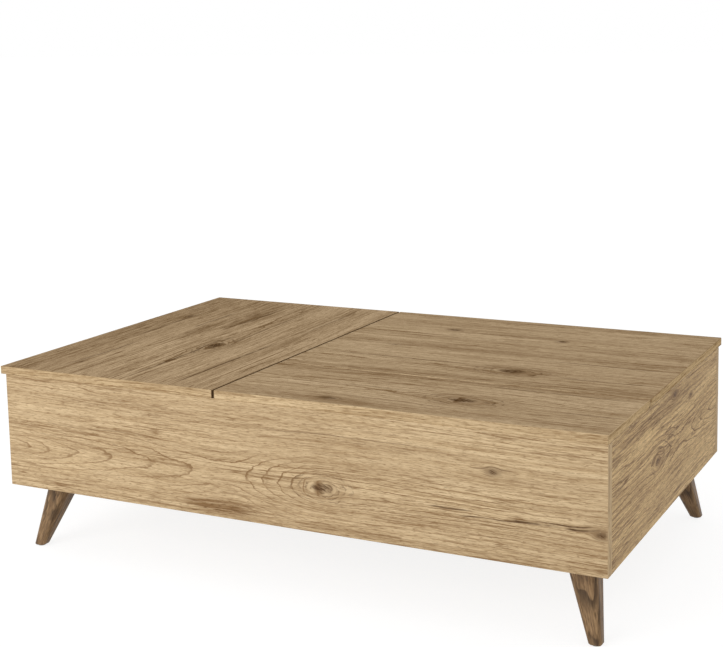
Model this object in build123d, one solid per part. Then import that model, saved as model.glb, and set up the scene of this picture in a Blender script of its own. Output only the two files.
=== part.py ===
"""Lift top coffee table: a low oak-decor box on four splayed legs, with three compartments.

The left lid and the back lid each rise on a pair of parallel-arm lifts, staying level while they move
out over their own wall. The front flap swings up on two swan-neck cup hinges.

Millimetres, +Z up, +Y to the back, +X to the right. The origin is on the floor, under the middle of
the closed table top. Every sub-part is written to parts/ as its own STEP file.
"""
from build123d import *
import os
from math import atan2, cos, degrees, radians, sin

# ------------------------------------------------------------------ carcass and lids
BODY_LENGTH = 1200.0        # left face to right face
BODY_DEPTH = 720.0          # front face to back face
WALL_HEIGHT = 217.0         # the upright boards, up to the rim that the lids lie on
BOARD = 18.0                # thickness of the upright boards
BOTTOM_BOARD = 16.0         # thickness of the bottom
LID_BOARD = 15.0            # thickness of the lids and the flap
EDGE_EASE = 0.8             # bevel on the banded edges
LEFT_OVERHANG = 12.0        # left lid past the left face
BACK_OVERHANG = 22.0        # left and back lids past the back face
LID_SEAM = 3.0              # gap between the left lid and the two right ones
FLAP_SEAM = 2.5             # gap between the flap and the back lid
LEFT_BAY = 462.0            # left face to the long partition
FLAP_REACH = 228.0          # front face to the middle of the seam behind the flap
FLAP_OVERLAY = 8.0          # how far the flap covers the cross partition
FLAP_ROUND = 9.0            # radius of the flap's back lower edge, so that it turns without dipping
CROSS_DROP = 1.0            # cross partition below the rim, clear of the flap's turning edge

# ------------------------------------------------------------------ legs
LEG_HEIGHT = 130.0          # floor to the underside of the box
LEG_TOP_SIDE = 56.0
LEG_TOP_ROUND = 17.0
LEG_FOOT_SIDE = 23.0
LEG_FOOT_ROUND = 7.5
LEG_FOOT_BEVEL = 1.6
LEG_TOP_INSET = (68.0, 82.0)    # corner of the box to the middle of the leg's top
LEG_FOOT_INSET = (32.0, 39.0)   # corner of the box to the middle of the foot
LEG_PLATE_SIDE = 40.0
LEG_PLATE = 2.5             # thickness of the steel plate let into the leg's top
LEG_PLATE_PLAY = 1.0        # recess in the leg larger than the plate
LEG_SCREW_PITCH = 28.0
LEG_BOLT_RADIUS = 4.0
LEG_BOLT_IN_LEG = 32.0
LEG_BOLT_IN_BOARD = 9.0
LEG_BOLT_PLAY = 1.0         # well in the bottom larger than the bolt
GLIDE_RADIUS = 8.0
GLIDE_THICKNESS = 2.0
GLIDE_STEM_RADIUS = 2.5
GLIDE_STEM = 9.0

# ------------------------------------------------------------------ lift linkage, drawn flat on its wall
ARM_REST_ANGLE = 16.0       # arms above level when the lid is down
PIVOT_INSET = 165.0         # outer face of the wall that the lid passes over to the inner base pivot
PIVOT_DROP = 116.0          # rim to the inner base pivot
PIVOT_STEP = (-75.0, 15.0)  # inner base pivot to outer base pivot: outwards, up
STRUT_OFFSET = 85.0         # outer base pivot to each end of the strut
STRUT_REST_ANGLE = 80.0     # between the arm and the strut's base pin, seen from the outer pivot

# layers of the lift, measured from the face of its wall
PLATE = 3.0                 # base plate
PLATE_BOSS = 1.7            # raised ring round each base pivot
BRACKET_BACK = 2.0          # wall to the lid bracket's upright leg
BRACKET = 2.5               # bracket sheet
ARM_BACK = 5.0              # wall to the arm's web
ARM_WEB = 2.0
ARM_DEPTH = 6.0             # web and rolled rim together
STRUT_AXIS = 20.5           # wall to the middle of the strut
HEAD_GAP = 0.3              # between a moving face and a rivet head or boss

ARM_BASE_RADIUS = 13.0
ARM_TIP_RADIUS = 11.5
ARM_HOLES = 4               # lightening holes along the arm
ARM_HOLE_RADIUS = 4.5
PIVOT_RADIUS = 4.0
PIVOT_HEAD_RADIUS = 6.5
PIVOT_HEAD = 2.0
PIVOT_BACK_HEAD = 1.1
PIVOT_CLEARANCE = 0.06      # running fit of an arm on its rivet
OPEN_PIVOT_CLEARANCE = 0.35  # looser fit of the follower arm's upper pivot
SEAT_CLEARANCE = 0.05       # a fixed rivet, screw or dowel in its hole
PLATE_CORNER_RADIUS = 10.0
PLATE_WINDOW_RADIUS = 12.0
OUTER_SCREW = (-17.0, 7.0)  # outer base pivot to the plate screw beside it
INNER_SCREW = (14.0, 12.0)  # inner base pivot to the plate screw beside it
LOW_SCREW_DROP = 5.0        # strut's base pin down to the two low plate screws
LOW_SCREW_OUT = 12.0        # strut's base pin outwards to the nearer one
LOW_SCREW_IN = 10.0         # inner base pivot inwards to the other one

BRACKET_LENGTH = 250.0
BRACKET_DEEP_END = 50.0     # below the lid, at the pivots
BRACKET_SHALLOW_END = 14.0
BRACKET_PAST_PIVOT = 14.0
BRACKET_TO_PARTITION = 4.2  # bracket's deep end to the partition across the bay
BRACKET_FLANGE = 25.0       # width of the leg screwed to the lid
BRACKET_CORNER = 5.0
BRACKET_BEND = 2.0          # outside radius where the two legs meet
BRACKET_SCREWS = 3
BRACKET_SLOT = (70.0, 9.0)  # long opening in the upright leg

# ------------------------------------------------------------------ gas strut
STRUT_RADIUS = 8.0
STRUT_BORE = 6.0
STRUT_END_WALL = 4.0
STRUT_TUBE = (12.0, 88.0)   # base pin to the two ends of the tube
STRUT_NECK_RADIUS = 5.0
STRUT_EYE_RADIUS = 8.0
STRUT_EYE_WIDTH = 10.0
STRUT_PIN_RADIUS = 3.0
STRUT_PIN_SHOULDER = 5.5
STRUT_PIN_HEAD = 1.5
ROD_RADIUS = 3.0
ROD_LENGTH = 90.0           # upper pin to the piston's far face
PISTON_LENGTH = 5.0
PISTON_CLEARANCE = 0.3

# --------------------------------------------------------- flap hinges, from the flap's back lower edge
HINGE_INSET = 85.0          # end of the flap to the middle of a hinge
HINGE_PIVOT = (-9.0, 10.0)  # pin in the cup: forwards, up
CUP_RADIUS = 17.5
CUP_WALL = 1.5
CUP_DEPTH = 13.3
CUP_FLOOR = 0.75
CUP_LIP = 1.0               # flange past the cup
CUP_EDGE = 4.5              # flap's back edge to the cup
CUP_FLANGE = 1.2
CUP_EAR_PITCH = 48.0
CUP_EAR_RADIUS = 6.0
CUP_EAR_SHIFT = 6.0         # ears further from the edge than the cup's middle
HINGE_PIN_RADIUS = 1.25
HINGE_PIN_LENGTH = 19.6
KNUCKLE_RADIUS = 2.2
NECK_THICKNESS = 1.6
NECK_WIDTH = 8.0
NECK_CREST = (-21.5, 10.0)  # forward corner of the swan neck, inside the cup
NECK_THROAT = (-25.0, 1.0)  # where the neck leaves the cup's mouth
NECK_HOOK = (-26.0, -7.0)   # lowest forward corner of the neck
NECK_BACK = -14.6           # middle of the neck where it lies along the plate
NECK_LAP = 6.0              # neck's ends above and inside the arm's ends
NECK_BEND = 3.4
HINGE_ARM_TOP = -22.0
HINGE_ARM_BOTTOM = -64.0
HINGE_ARM_WIDTH = 15.0
HINGE_ARM_SHEET = 1.6
HINGE_PLATE = 2.0
HINGE_PLATE_WIDTH = 62.0
HINGE_PLATE_HEIGHT = 20.0
HINGE_PLATE_CORNER = 6.5
HINGE_PLATE_MIDDLE = -44.0
HINGE_PLATE_PITCH = 44.0
HINGE_RAIL_WIDTH = 9.0

# ------------------------------------------------------------------ screws, dowels and cams
SCREW_RADIUS = 1.9
SCREW_HEAD_RADIUS = 3.9
SCREW_HEAD = 1.9
SCREW_BITE = 11.0           # length in the board
DOWEL_RADIUS = 4.0
DOWEL_LENGTH = 30.0
DOWEL_IN_FACE = 10.0        # share of the dowel that sits in the board's face
CAM_RADIUS = 7.5
CAM_DEPTH = 12.5
CAM_SETBACK = 34.0          # board's end to the middle of the cam
CAM_BOLT_RADIUS = 3.0
DOWEL_FROM_RIM = 32.0
DOWEL_FROM_FLOOR = 16.0

# ------------------------------------------------------------------ worked out from the sizes above
LEFT = -(BODY_LENGTH + LEFT_OVERHANG) / 2 + LEFT_OVERHANG
RIGHT = LEFT + BODY_LENGTH
FRONT = -(BODY_DEPTH + BACK_OVERHANG) / 2
BACK = FRONT + BODY_DEPTH
RIM = LEG_HEIGHT + WALL_HEIGHT
TOP = RIM + LID_BOARD
FLOOR_OF_BOX = LEG_HEIGHT + BOTTOM_BOARD
INNER_LEFT, INNER_RIGHT = LEFT + BOARD, RIGHT - BOARD
INNER_FRONT, INNER_BACK = FRONT + BOARD, BACK - BOARD
PARTITION = (LEFT + LEFT_BAY, LEFT + LEFT_BAY + BOARD)
SEAM_X = sum(PARTITION) / 2
SEAM_Y = FRONT + FLAP_REACH
FLAP_EDGE = SEAM_Y - FLAP_SEAM / 2
CROSS_FACE = FLAP_EDGE - FLAP_OVERLAY
CROSS = (CROSS_FACE, CROSS_FACE + BOARD)
CROSS_TOP = RIM - CROSS_DROP
HINGE_XS = (SEAM_X + LID_SEAM / 2 + HINGE_INSET, RIGHT - HINGE_INSET)


def polar(radius, angle):
    """A flat offset from a length and an angle in degrees."""
    return Vector(radius * cos(radians(angle)), radius * sin(radians(angle)))


LIFT_BAY = min(PARTITION[0] - LEFT, BACK - CROSS[1])    # outer face to the partition across the bay
ARM_LEVEL_REACH = LIFT_BAY - PIVOT_INSET - BRACKET_PAST_PIVOT - BRACKET_TO_PARTITION
ARM_LENGTH = ARM_LEVEL_REACH / cos(radians(ARM_REST_ANGLE))     # pivot to pivot
INNER_PIVOT = Vector(0, 0)
OUTER_PIVOT = Vector(*PIVOT_STEP)
ARM_REACH = polar(ARM_LENGTH, ARM_REST_ANGLE)
STRUT_BASE = OUTER_PIVOT + polar(STRUT_OFFSET, ARM_REST_ANGLE - STRUT_REST_ANGLE)
STRUT_TIP = OUTER_PIVOT + polar(STRUT_OFFSET, ARM_REST_ANGLE)
STRUT_REST = (STRUT_TIP - STRUT_BASE).length
STRUT_SLOPE = degrees(atan2(STRUT_TIP.Y - STRUT_BASE.Y, STRUT_TIP.X - STRUT_BASE.X))
ARM_FRONT = ARM_BACK + ARM_WEB
BRACKET_FRONT = BRACKET_BACK + BRACKET
EYE_BACK = STRUT_AXIS - STRUT_EYE_WIDTH / 2
EYE_FRONT = STRUT_AXIS + STRUT_EYE_WIDTH / 2
PLATE_SCREWS = (
    OUTER_PIVOT + Vector(*OUTER_SCREW),
    INNER_PIVOT + Vector(*INNER_SCREW),
    Vector(INNER_PIVOT.X + LOW_SCREW_IN, STRUT_BASE.Y - LOW_SCREW_DROP),
    STRUT_BASE - Vector(LOW_SCREW_OUT, LOW_SCREW_DROP),
)


# ------------------------------------------------------------------ shapes used throughout
def block(x, y, z):
    """A block between two limits on each axis."""
    size = [high - low for low, high in (x, y, z)]
    middle = [(high + low) / 2 for low, high in (x, y, z)]
    return Pos(*middle) * Box(*size)


def board(x, y, z):
    """A board with its edges eased."""
    return chamfer(block(x, y, z).edges(), EDGE_EASE)


def turned(points):
    """A solid turned about Z from (radius, height) points, closed along the axis."""
    outline = Polyline(*[(radius, 0, height) for radius, height in points], close=True)
    return revolve(make_face(outline), Axis.Z)


def bar(radius, low, high):
    """A round bar on Z between two heights."""
    return Pos(0, 0, (low + high) / 2) * Cylinder(radius, high - low)


def hull(circles):
    """The outline stretched round circles given as (centre, radius)."""
    return make_hull([edge for at, radius in circles for edge in (Pos(*at) * Circle(radius)).edges()])


def slab(outline, low, high):
    """A flat outline thickened between two heights."""
    return Pos(0, 0, low) * extrude(outline, high - low)


def joined(shapes):
    """One compound of separate solids."""
    return Compound(children=[solid for shape in shapes for solid in shape.solids()])


def screw():
    """A countersunk screw on Z: its head's flat at 0, its tip upwards."""
    tip = SCREW_HEAD + SCREW_BITE
    return turned([
        (0, 0), (SCREW_HEAD_RADIUS, 0), (SCREW_RADIUS, SCREW_HEAD),
        (SCREW_RADIUS, tip - SCREW_RADIUS), (0, tip),
    ])


def screw_sink():
    """What a screw and its countersink take out of the sheet and the board."""
    grow = SEAT_CLEARANCE
    tip = SCREW_HEAD + SCREW_BITE
    return turned([
        (0, 0), (SCREW_HEAD_RADIUS + grow, 0), (SCREW_RADIUS + grow, SCREW_HEAD + grow),
        (SCREW_RADIUS + grow, tip + grow), (0, tip + grow),
    ])


# ------------------------------------------------------------------ where each lift hangs
class Wall:
    """One face that carries a lift: inner base pivot on the face, inward and away directions."""

    def __init__(self, x, y, inward, away):
        plane = Plane(origin=(x, y, RIM - PIVOT_DROP), x_dir=inward, z_dir=away)
        self.flip = plane.y_dir.Z < 0
        if self.flip:
            plane = Plane(origin=plane.origin, x_dir=inward, z_dir=-Vector(*away))
        self.location = plane.location

    def seat(self, shape):
        """Moves a shape from the lift's drawing (inwards, up, away from the wall) onto this wall."""
        if self.flip:
            shape = mirror(shape, about=Plane.XY)
        return self.location * shape


LIFTS = {
    "left_lid": {
        "front": Wall(LEFT + PIVOT_INSET, INNER_FRONT, (1, 0, 0), (0, 1, 0)),
        "rear": Wall(LEFT + PIVOT_INSET, INNER_BACK, (1, 0, 0), (0, -1, 0)),
    },
    "back_lid": {
        "left": Wall(PARTITION[1], BACK - PIVOT_INSET, (0, -1, 0), (1, 0, 0)),
        "right": Wall(INNER_RIGHT, BACK - PIVOT_INSET, (0, -1, 0), (-1, 0, 0)),
    },
}
WALL_BOARDS = {
    "front_panel": [LIFTS["left_lid"]["front"]],
    "back_panel": [LIFTS["left_lid"]["rear"]],
    "long_partition": [LIFTS["back_lid"]["left"]],
    "right_side_panel": [LIFTS["back_lid"]["right"]],
}


# ------------------------------------------------------------------ lift pieces, in the lift's drawing
def base_plate():
    """Steel plate screwed to the wall, with a raised ring round each pivot."""
    outline = hull([(at, PLATE_CORNER_RADIUS) for at in PLATE_SCREWS])
    plate = slab(outline, 0, PLATE)
    for at in (INNER_PIVOT, OUTER_PIVOT):
        plate += Pos(*at) * bar(PIVOT_HEAD_RADIUS + PLATE_BOSS, 0, PLATE + PLATE_BOSS)
        plate -= Pos(*at) * bar(PIVOT_RADIUS + SEAT_CLEARANCE, 0, ARM_BACK)
    plate -= Pos(*STRUT_BASE) * bar(STRUT_PIN_RADIUS + SEAT_CLEARANCE, 0, ARM_BACK)
    plate -= Pos(*(sum(PLATE_SCREWS, Vector()) / len(PLATE_SCREWS))) * bar(PLATE_WINDOW_RADIUS, 0, PLATE)
    for place in plate_screw_places():
        plate -= place * screw_sink()
    return plate


def plate_screw_places():
    """Where the base plate's screws go in, heads flush with its face."""
    return [Pos(at.X, at.Y, PLATE) * Rot(180, 0, 0) for at in PLATE_SCREWS]


def arm(upper_clearance, strut_pin=False):
    """A pressed steel arm along +X from its base pivot: a flat web with a rolled rim."""
    ends = ((0, 0), ARM_BASE_RADIUS), ((ARM_LENGTH, 0), ARM_TIP_RADIUS)
    shape = slab(hull(ends), ARM_BACK, ARM_BACK + ARM_DEPTH)
    inside = [(at, radius - ARM_WEB) for at, radius in ends]
    shape -= slab(hull(inside), ARM_FRONT, ARM_BACK + ARM_DEPTH)
    drill = ARM_BACK, ARM_FRONT
    shape -= bar(PIVOT_RADIUS + PIVOT_CLEARANCE, *drill)
    shape -= Pos(ARM_LENGTH, 0) * bar(PIVOT_RADIUS + upper_clearance, *drill)
    pitch = (ARM_LENGTH - STRUT_OFFSET) / (ARM_HOLES + 1)
    for count in range(ARM_HOLES):
        shape -= Pos(STRUT_OFFSET + (count + 1) * pitch, 0) * bar(ARM_HOLE_RADIUS, *drill)
    if strut_pin:
        shape -= Pos(STRUT_OFFSET, 0) * bar(STRUT_PIN_RADIUS + SEAT_CLEARANCE, *drill)
    return shape


def main_arm():
    """The outer arm, which the strut pushes, at rest."""
    return Pos(*OUTER_PIVOT) * Rot(0, 0, ARM_REST_ANGLE) * arm(PIVOT_CLEARANCE, strut_pin=True)


def follower_arm():
    """The inner arm, which keeps the lid level, at rest."""
    return Pos(*INNER_PIVOT) * Rot(0, 0, ARM_REST_ANGLE) * arm(OPEN_PIVOT_CLEARANCE)


def base_rivet():
    """Fixed rivet that an arm turns on, headed over the arm's web."""
    head = ARM_FRONT + HEAD_GAP
    return turned([
        (0, 0), (PIVOT_RADIUS, 0), (PIVOT_RADIUS, head), (PIVOT_HEAD_RADIUS, head),
        (PIVOT_HEAD_RADIUS, head + PIVOT_HEAD / 2), (PIVOT_HEAD_RADIUS / 2, head + PIVOT_HEAD),
        (0, head + PIVOT_HEAD),
    ])


def lid_rivet():
    """Rivet through the lid bracket and an arm's tip, headed on both sides."""
    back = BRACKET_BACK - PIVOT_BACK_HEAD
    head = ARM_FRONT + HEAD_GAP
    return turned([
        (0, back), (PIVOT_HEAD_RADIUS, back), (PIVOT_HEAD_RADIUS, BRACKET_BACK),
        (PIVOT_RADIUS, BRACKET_BACK), (PIVOT_RADIUS, head), (PIVOT_HEAD_RADIUS, head),
        (PIVOT_HEAD_RADIUS, head + PIVOT_HEAD / 2), (PIVOT_HEAD_RADIUS / 2, head + PIVOT_HEAD),
        (0, head + PIVOT_HEAD),
    ])


def strut_pin(start, shoulder):
    """Stepped pin that carries a strut eye: its foot at start, its shoulder from there to the eye."""
    eye, head = EYE_BACK - HEAD_GAP, EYE_FRONT + HEAD_GAP
    return turned([
        (0, start), (STRUT_PIN_RADIUS, start), (STRUT_PIN_RADIUS, shoulder),
        (STRUT_PIN_SHOULDER, shoulder), (STRUT_PIN_SHOULDER, eye), (STRUT_PIN_RADIUS, eye),
        (STRUT_PIN_RADIUS, head), (STRUT_PIN_SHOULDER, head),
        (STRUT_PIN_SHOULDER, head + STRUT_PIN_HEAD), (0, head + STRUT_PIN_HEAD),
    ])


def lid_bracket():
    """Tapered steel angle under the lid: an upright leg with both upper pivots and a flange."""
    deep_end = ARM_REACH.X + BRACKET_PAST_PIVOT
    shallow_end = deep_end - BRACKET_LENGTH
    corners = [
        (shallow_end, PIVOT_DROP), (shallow_end, PIVOT_DROP - BRACKET_SHALLOW_END),
        (deep_end, PIVOT_DROP - BRACKET_DEEP_END), (deep_end, PIVOT_DROP),
    ]
    outline = make_face(Polyline(*corners, close=True))
    low = outline.vertices().sort_by(Axis.Y)[:2]
    upright = slab(fillet(low, BRACKET_CORNER), BRACKET_BACK, BRACKET_FRONT)
    flange = block((shallow_end, deep_end), (PIVOT_DROP - BRACKET, PIVOT_DROP),
                   (BRACKET_BACK, BRACKET_BACK + BRACKET_FLANGE))
    shape = upright + flange
    bend = shape.edges().filter_by(Axis.X).group_by(Axis.Y)[-1].group_by(Axis.Z)[0]
    shape = fillet(bend, BRACKET_BEND)
    for pivot in (INNER_PIVOT, OUTER_PIVOT):
        shape -= Pos(*(pivot + ARM_REACH)) * bar(PIVOT_RADIUS + SEAT_CLEARANCE, 0, ARM_BACK)
    slot_at = shallow_end + BRACKET_SLOT[0], PIVOT_DROP - BRACKET_SHALLOW_END
    slot = Pos(*slot_at) * SlotOverall(*BRACKET_SLOT)
    shape -= slab(slot, BRACKET_BACK, BRACKET_FRONT)
    for place in bracket_screw_places():
        shape -= place * screw_sink()
    return shape


def bracket_screw_places():
    """Where the flange's screws go up into the lid."""
    deep_end = ARM_REACH.X + BRACKET_PAST_PIVOT
    across = (BRACKET_FRONT + BRACKET_BACK + BRACKET_FLANGE) / 2
    pitch = BRACKET_LENGTH / BRACKET_SCREWS
    return [
        Pos(deep_end - (count + 0.5) * pitch, PIVOT_DROP - BRACKET, across) * Rot(-90, 0, 0)
        for count in range(BRACKET_SCREWS)
    ]


# ------------------------------------------------------------------ gas strut, along +X from its base pin
def strut_bar(radius, start, end):
    """A round bar on the strut's axis."""
    return Pos((start + end) / 2, 0, STRUT_AXIS) * Rot(0, 90, 0) * Cylinder(radius, end - start)


def strut_eye(at, neck):
    """The flat-faced eye at one end of the strut, with its neck, and the pin's hole to take out."""
    eye = Pos(at, 0) * bar(STRUT_EYE_RADIUS, EYE_BACK, EYE_FRONT) + strut_bar(*neck)
    return eye, Pos(at, 0) * bar(STRUT_PIN_RADIUS + PIVOT_CLEARANCE, EYE_BACK, EYE_FRONT)


def seat_strut(shape):
    """Turns a strut piece to its slope at rest, on its base pin."""
    return Pos(*STRUT_BASE) * Rot(0, 0, STRUT_SLOPE) * shape


def strut_cylinder():
    """The pressure tube with its lower eye and the guide that the rod runs through."""
    start, end = STRUT_TUBE
    eye, hole = strut_eye(0, (STRUT_NECK_RADIUS, 0, start))
    tube = strut_bar(STRUT_RADIUS, start, end)
    tube -= strut_bar(STRUT_BORE, start + STRUT_END_WALL, end - STRUT_END_WALL)
    tube -= strut_bar(ROD_RADIUS + SEAT_CLEARANCE, end - STRUT_END_WALL, end)
    return seat_strut(tube + eye - hole)


def strut_rod():
    """The bright rod with its piston and its upper eye."""
    tip = STRUT_REST - ROD_LENGTH
    eye, hole = strut_eye(STRUT_REST, (ROD_RADIUS, tip, STRUT_REST))
    piston = strut_bar(STRUT_BORE - PISTON_CLEARANCE, tip, tip + PISTON_LENGTH)
    return seat_strut(piston + eye - hole)


# ------------------------------------------------------------------ flap hinges
def at_hinges(shape):
    """Both copies of a hinge piece drawn about its own middle, (forwards, up) from the flap's edge."""
    return [Pos(x, FLAP_EDGE, RIM) * shape for x in HINGE_XS]


def hinge_slab(outline, width):
    """An outline in the plane across the hinge, thickened to both sides of its middle."""
    return extrude(Plane.YZ * outline, width / 2, both=True)


def across_hinge(at, radius, length):
    """A round bar along X, centred on the hinge at a point given as (forwards, up)."""
    return Pos(0, *at) * Rot(0, 90, 0) * Cylinder(radius, length)


def cup_places():
    """The cup's middle and its two ears, on the flap's underside."""
    middle = -(CUP_EDGE + CUP_RADIUS)
    ears = [(side * CUP_EAR_PITCH / 2, middle - CUP_EAR_SHIFT) for side in (-1, 1)]
    return (0, middle), ears


def hinge_cup():
    """Pressed steel cup let into the flap, with a flange and two ears."""
    middle, ears = cup_places()
    rim = hull([(middle, CUP_RADIUS + CUP_LIP)] + [(ear, CUP_EAR_RADIUS) for ear in ears])
    cup = slab(rim, -CUP_FLANGE, 0)
    cup += Pos(*middle) * bar(CUP_RADIUS - SEAT_CLEARANCE, -CUP_FLANGE, CUP_DEPTH)
    cup -= Pos(*middle) * bar(CUP_RADIUS - CUP_WALL, -CUP_FLANGE, CUP_DEPTH - CUP_FLOOR)
    cup -= across_hinge(HINGE_PIVOT, HINGE_PIN_RADIUS + SEAT_CLEARANCE, 2 * CUP_RADIUS)
    cup -= outside_flap_round()
    for place in cup_screw_places():
        cup -= place * screw_sink()
    return cup


def outside_flap_round():
    """The corner beyond the flap's rounded edge, along a hinge."""
    reach = (-FLAP_ROUND, FLAP_ROUND)
    blank = block((-CUP_RADIUS, CUP_RADIUS), reach, reach)
    return blank - across_hinge((-FLAP_ROUND, FLAP_ROUND), FLAP_ROUND, 2 * CUP_RADIUS)


def cup_screw_places():
    """Where the ears' screws go up into the flap, heads flush with the flange."""
    return [Pos(*ear, -CUP_FLANGE) for ear in cup_places()[1]]


def hinge_pin():
    """The pin across the cup, held in its wall at both ends."""
    return across_hinge(HINGE_PIVOT, HINGE_PIN_RADIUS, HINGE_PIN_LENGTH)


def hinge_neck():
    """Swan neck: a strip rolled round the pin that dips out of the cup and runs down the plate."""
    pivot = Vector(*HINGE_PIVOT)
    route = [
        pivot - Vector((KNUCKLE_RADIUS + HINGE_PIN_RADIUS) / 2, 0), NECK_CREST, NECK_THROAT, NECK_HOOK,
        (NECK_BACK, HINGE_ARM_TOP + NECK_LAP), (NECK_BACK, HINGE_ARM_BOTTOM + NECK_LAP),
    ]
    strip = trace(FilletPolyline(*route, radius=NECK_BEND), NECK_THICKNESS)
    knuckle = Pos(*pivot) * Circle(KNUCKLE_RADIUS)
    bore = Pos(*pivot) * Circle(HINGE_PIN_RADIUS + PIVOT_CLEARANCE)
    return hinge_slab(strip + knuckle - bore, NECK_WIDTH)


def hinge_arm():
    """Channel clipped over the plate's rail, which holds the neck down."""
    strip_face = NECK_BACK - NECK_THICKNESS / 2
    rail_face = -FLAP_OVERLAY - HINGE_PLATE
    outer = block((-HINGE_ARM_WIDTH / 2, HINGE_ARM_WIDTH / 2), (strip_face - HINGE_ARM_SHEET, rail_face),
                  (HINGE_ARM_BOTTOM, HINGE_ARM_TOP))
    outer = fillet(outer.edges().filter_by(Axis.Z).group_by(Axis.Y)[0], HINGE_ARM_SHEET)
    inner_half = HINGE_ARM_WIDTH / 2 - HINGE_ARM_SHEET
    inside = block((-inner_half, inner_half), (strip_face, rail_face), (HINGE_ARM_BOTTOM, HINGE_ARM_TOP))
    return outer - inside


def hinge_plate():
    """Winged plate screwed to the cross partition, with the rail that the arm clips over."""
    face = -FLAP_OVERLAY
    height = HINGE_PLATE_MIDDLE - HINGE_PLATE_HEIGHT / 2, HINGE_PLATE_MIDDLE + HINGE_PLATE_HEIGHT / 2
    wings = block((-HINGE_PLATE_WIDTH / 2, HINGE_PLATE_WIDTH / 2), (face - HINGE_PLATE, face), height)
    wings = fillet(wings.edges().filter_by(Axis.Y), HINGE_PLATE_CORNER)
    rail = block((-HINGE_RAIL_WIDTH / 2, HINGE_RAIL_WIDTH / 2),
                 (NECK_BACK + NECK_THICKNESS / 2, face - HINGE_PLATE), height)
    plate = wings + rail
    for place in hinge_plate_screw_places():
        plate -= place * screw_sink()
    return plate


def hinge_plate_screw_places():
    """Where the wings' screws go back into the partition, heads flush."""
    face = -FLAP_OVERLAY - HINGE_PLATE
    return [
        Pos(side * HINGE_PLATE_PITCH / 2, face, HINGE_PLATE_MIDDLE) * Rot(-90, 0, 0)
        for side in (-1, 1)
    ]


# ------------------------------------------------------------------ legs
def corner(inset, side_x, side_y, height):
    """A point inset from one corner of the box."""
    x = (LEFT + inset[0]) if side_x < 0 else (RIGHT - inset[0])
    y = (FRONT + inset[1]) if side_y < 0 else (BACK - inset[1])
    return Vector(x, y, height)


LEG_CORNERS = {
    "front_left": (-1, -1), "front_right": (1, -1), "back_left": (-1, 1), "back_right": (1, 1),
}


def leg(side_x, side_y):
    """Tapered leg of soft square section, splayed out to its foot, let in for plate, bolt and glide."""
    top = corner(LEG_TOP_INSET, side_x, side_y, LEG_HEIGHT)
    foot = corner(LEG_FOOT_INSET, side_x, side_y, GLIDE_THICKNESS)
    sections = [
        Pos(*foot) * RectangleRounded(LEG_FOOT_SIDE, LEG_FOOT_SIDE, LEG_FOOT_ROUND),
        Pos(*top) * RectangleRounded(LEG_TOP_SIDE, LEG_TOP_SIDE, LEG_TOP_ROUND),
    ]
    shape = loft(sections)
    shape = chamfer(shape.faces().sort_by(Axis.Z)[0].edges(), LEG_FOOT_BEVEL)
    let_in = LEG_PLATE_SIDE + LEG_PLATE_PLAY
    shape -= Pos(top.X, top.Y, LEG_HEIGHT - LEG_PLATE / 2) * Box(let_in, let_in, LEG_PLATE)
    bolt_hole = bar(LEG_BOLT_RADIUS + SEAT_CLEARANCE, LEG_HEIGHT - LEG_BOLT_IN_LEG, LEG_HEIGHT)
    shape -= Pos(top.X, top.Y) * bolt_hole
    stem = GLIDE_STEM_RADIUS + SEAT_CLEARANCE
    shape -= Pos(foot.X, foot.Y) * bar(stem, GLIDE_THICKNESS, GLIDE_THICKNESS + GLIDE_STEM)
    return shape


def leg_tops():
    """Middle of each leg's top, on the underside of the box."""
    return [corner(LEG_TOP_INSET, *sides, LEG_HEIGHT) for sides in LEG_CORNERS.values()]


def leg_screw_places():
    """Where the leg plates' screws go up into the bottom."""
    half = LEG_SCREW_PITCH / 2
    return [
        Pos(top.X + dx, top.Y + dy, LEG_HEIGHT - LEG_PLATE)
        for top in leg_tops() for dx in (-half, half) for dy in (-half, half)
    ]


def leg_plate(top):
    """Square steel plate under the bottom, tapped for the leg's bolt."""
    plate = Pos(top.X, top.Y, LEG_HEIGHT - LEG_PLATE / 2) * Box(LEG_PLATE_SIDE, LEG_PLATE_SIDE, LEG_PLATE)
    bolt_hole = bar(LEG_BOLT_RADIUS + SEAT_CLEARANCE, LEG_HEIGHT - LEG_PLATE, LEG_HEIGHT)
    return plate - Pos(top.X, top.Y) * bolt_hole


def leg_bolt(top):
    """Hanger bolt from the leg up through the plate into the bottom."""
    bolt = bar(LEG_BOLT_RADIUS, LEG_HEIGHT - LEG_BOLT_IN_LEG, LEG_HEIGHT + LEG_BOLT_IN_BOARD)
    return Pos(top.X, top.Y) * bolt


def glide(sides):
    """Plastic glide pushed into the foot."""
    foot = corner(LEG_FOOT_INSET, *sides, 0)
    disc = turned([
        (0, 0), (GLIDE_RADIUS - GLIDE_THICKNESS / 2, 0), (GLIDE_RADIUS, GLIDE_THICKNESS / 2),
        (GLIDE_RADIUS, GLIDE_THICKNESS), (GLIDE_STEM_RADIUS, GLIDE_THICKNESS),
        (GLIDE_STEM_RADIUS, GLIDE_THICKNESS + GLIDE_STEM), (0, GLIDE_THICKNESS + GLIDE_STEM),
    ])
    return Pos(foot.X, foot.Y) * disc


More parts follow.
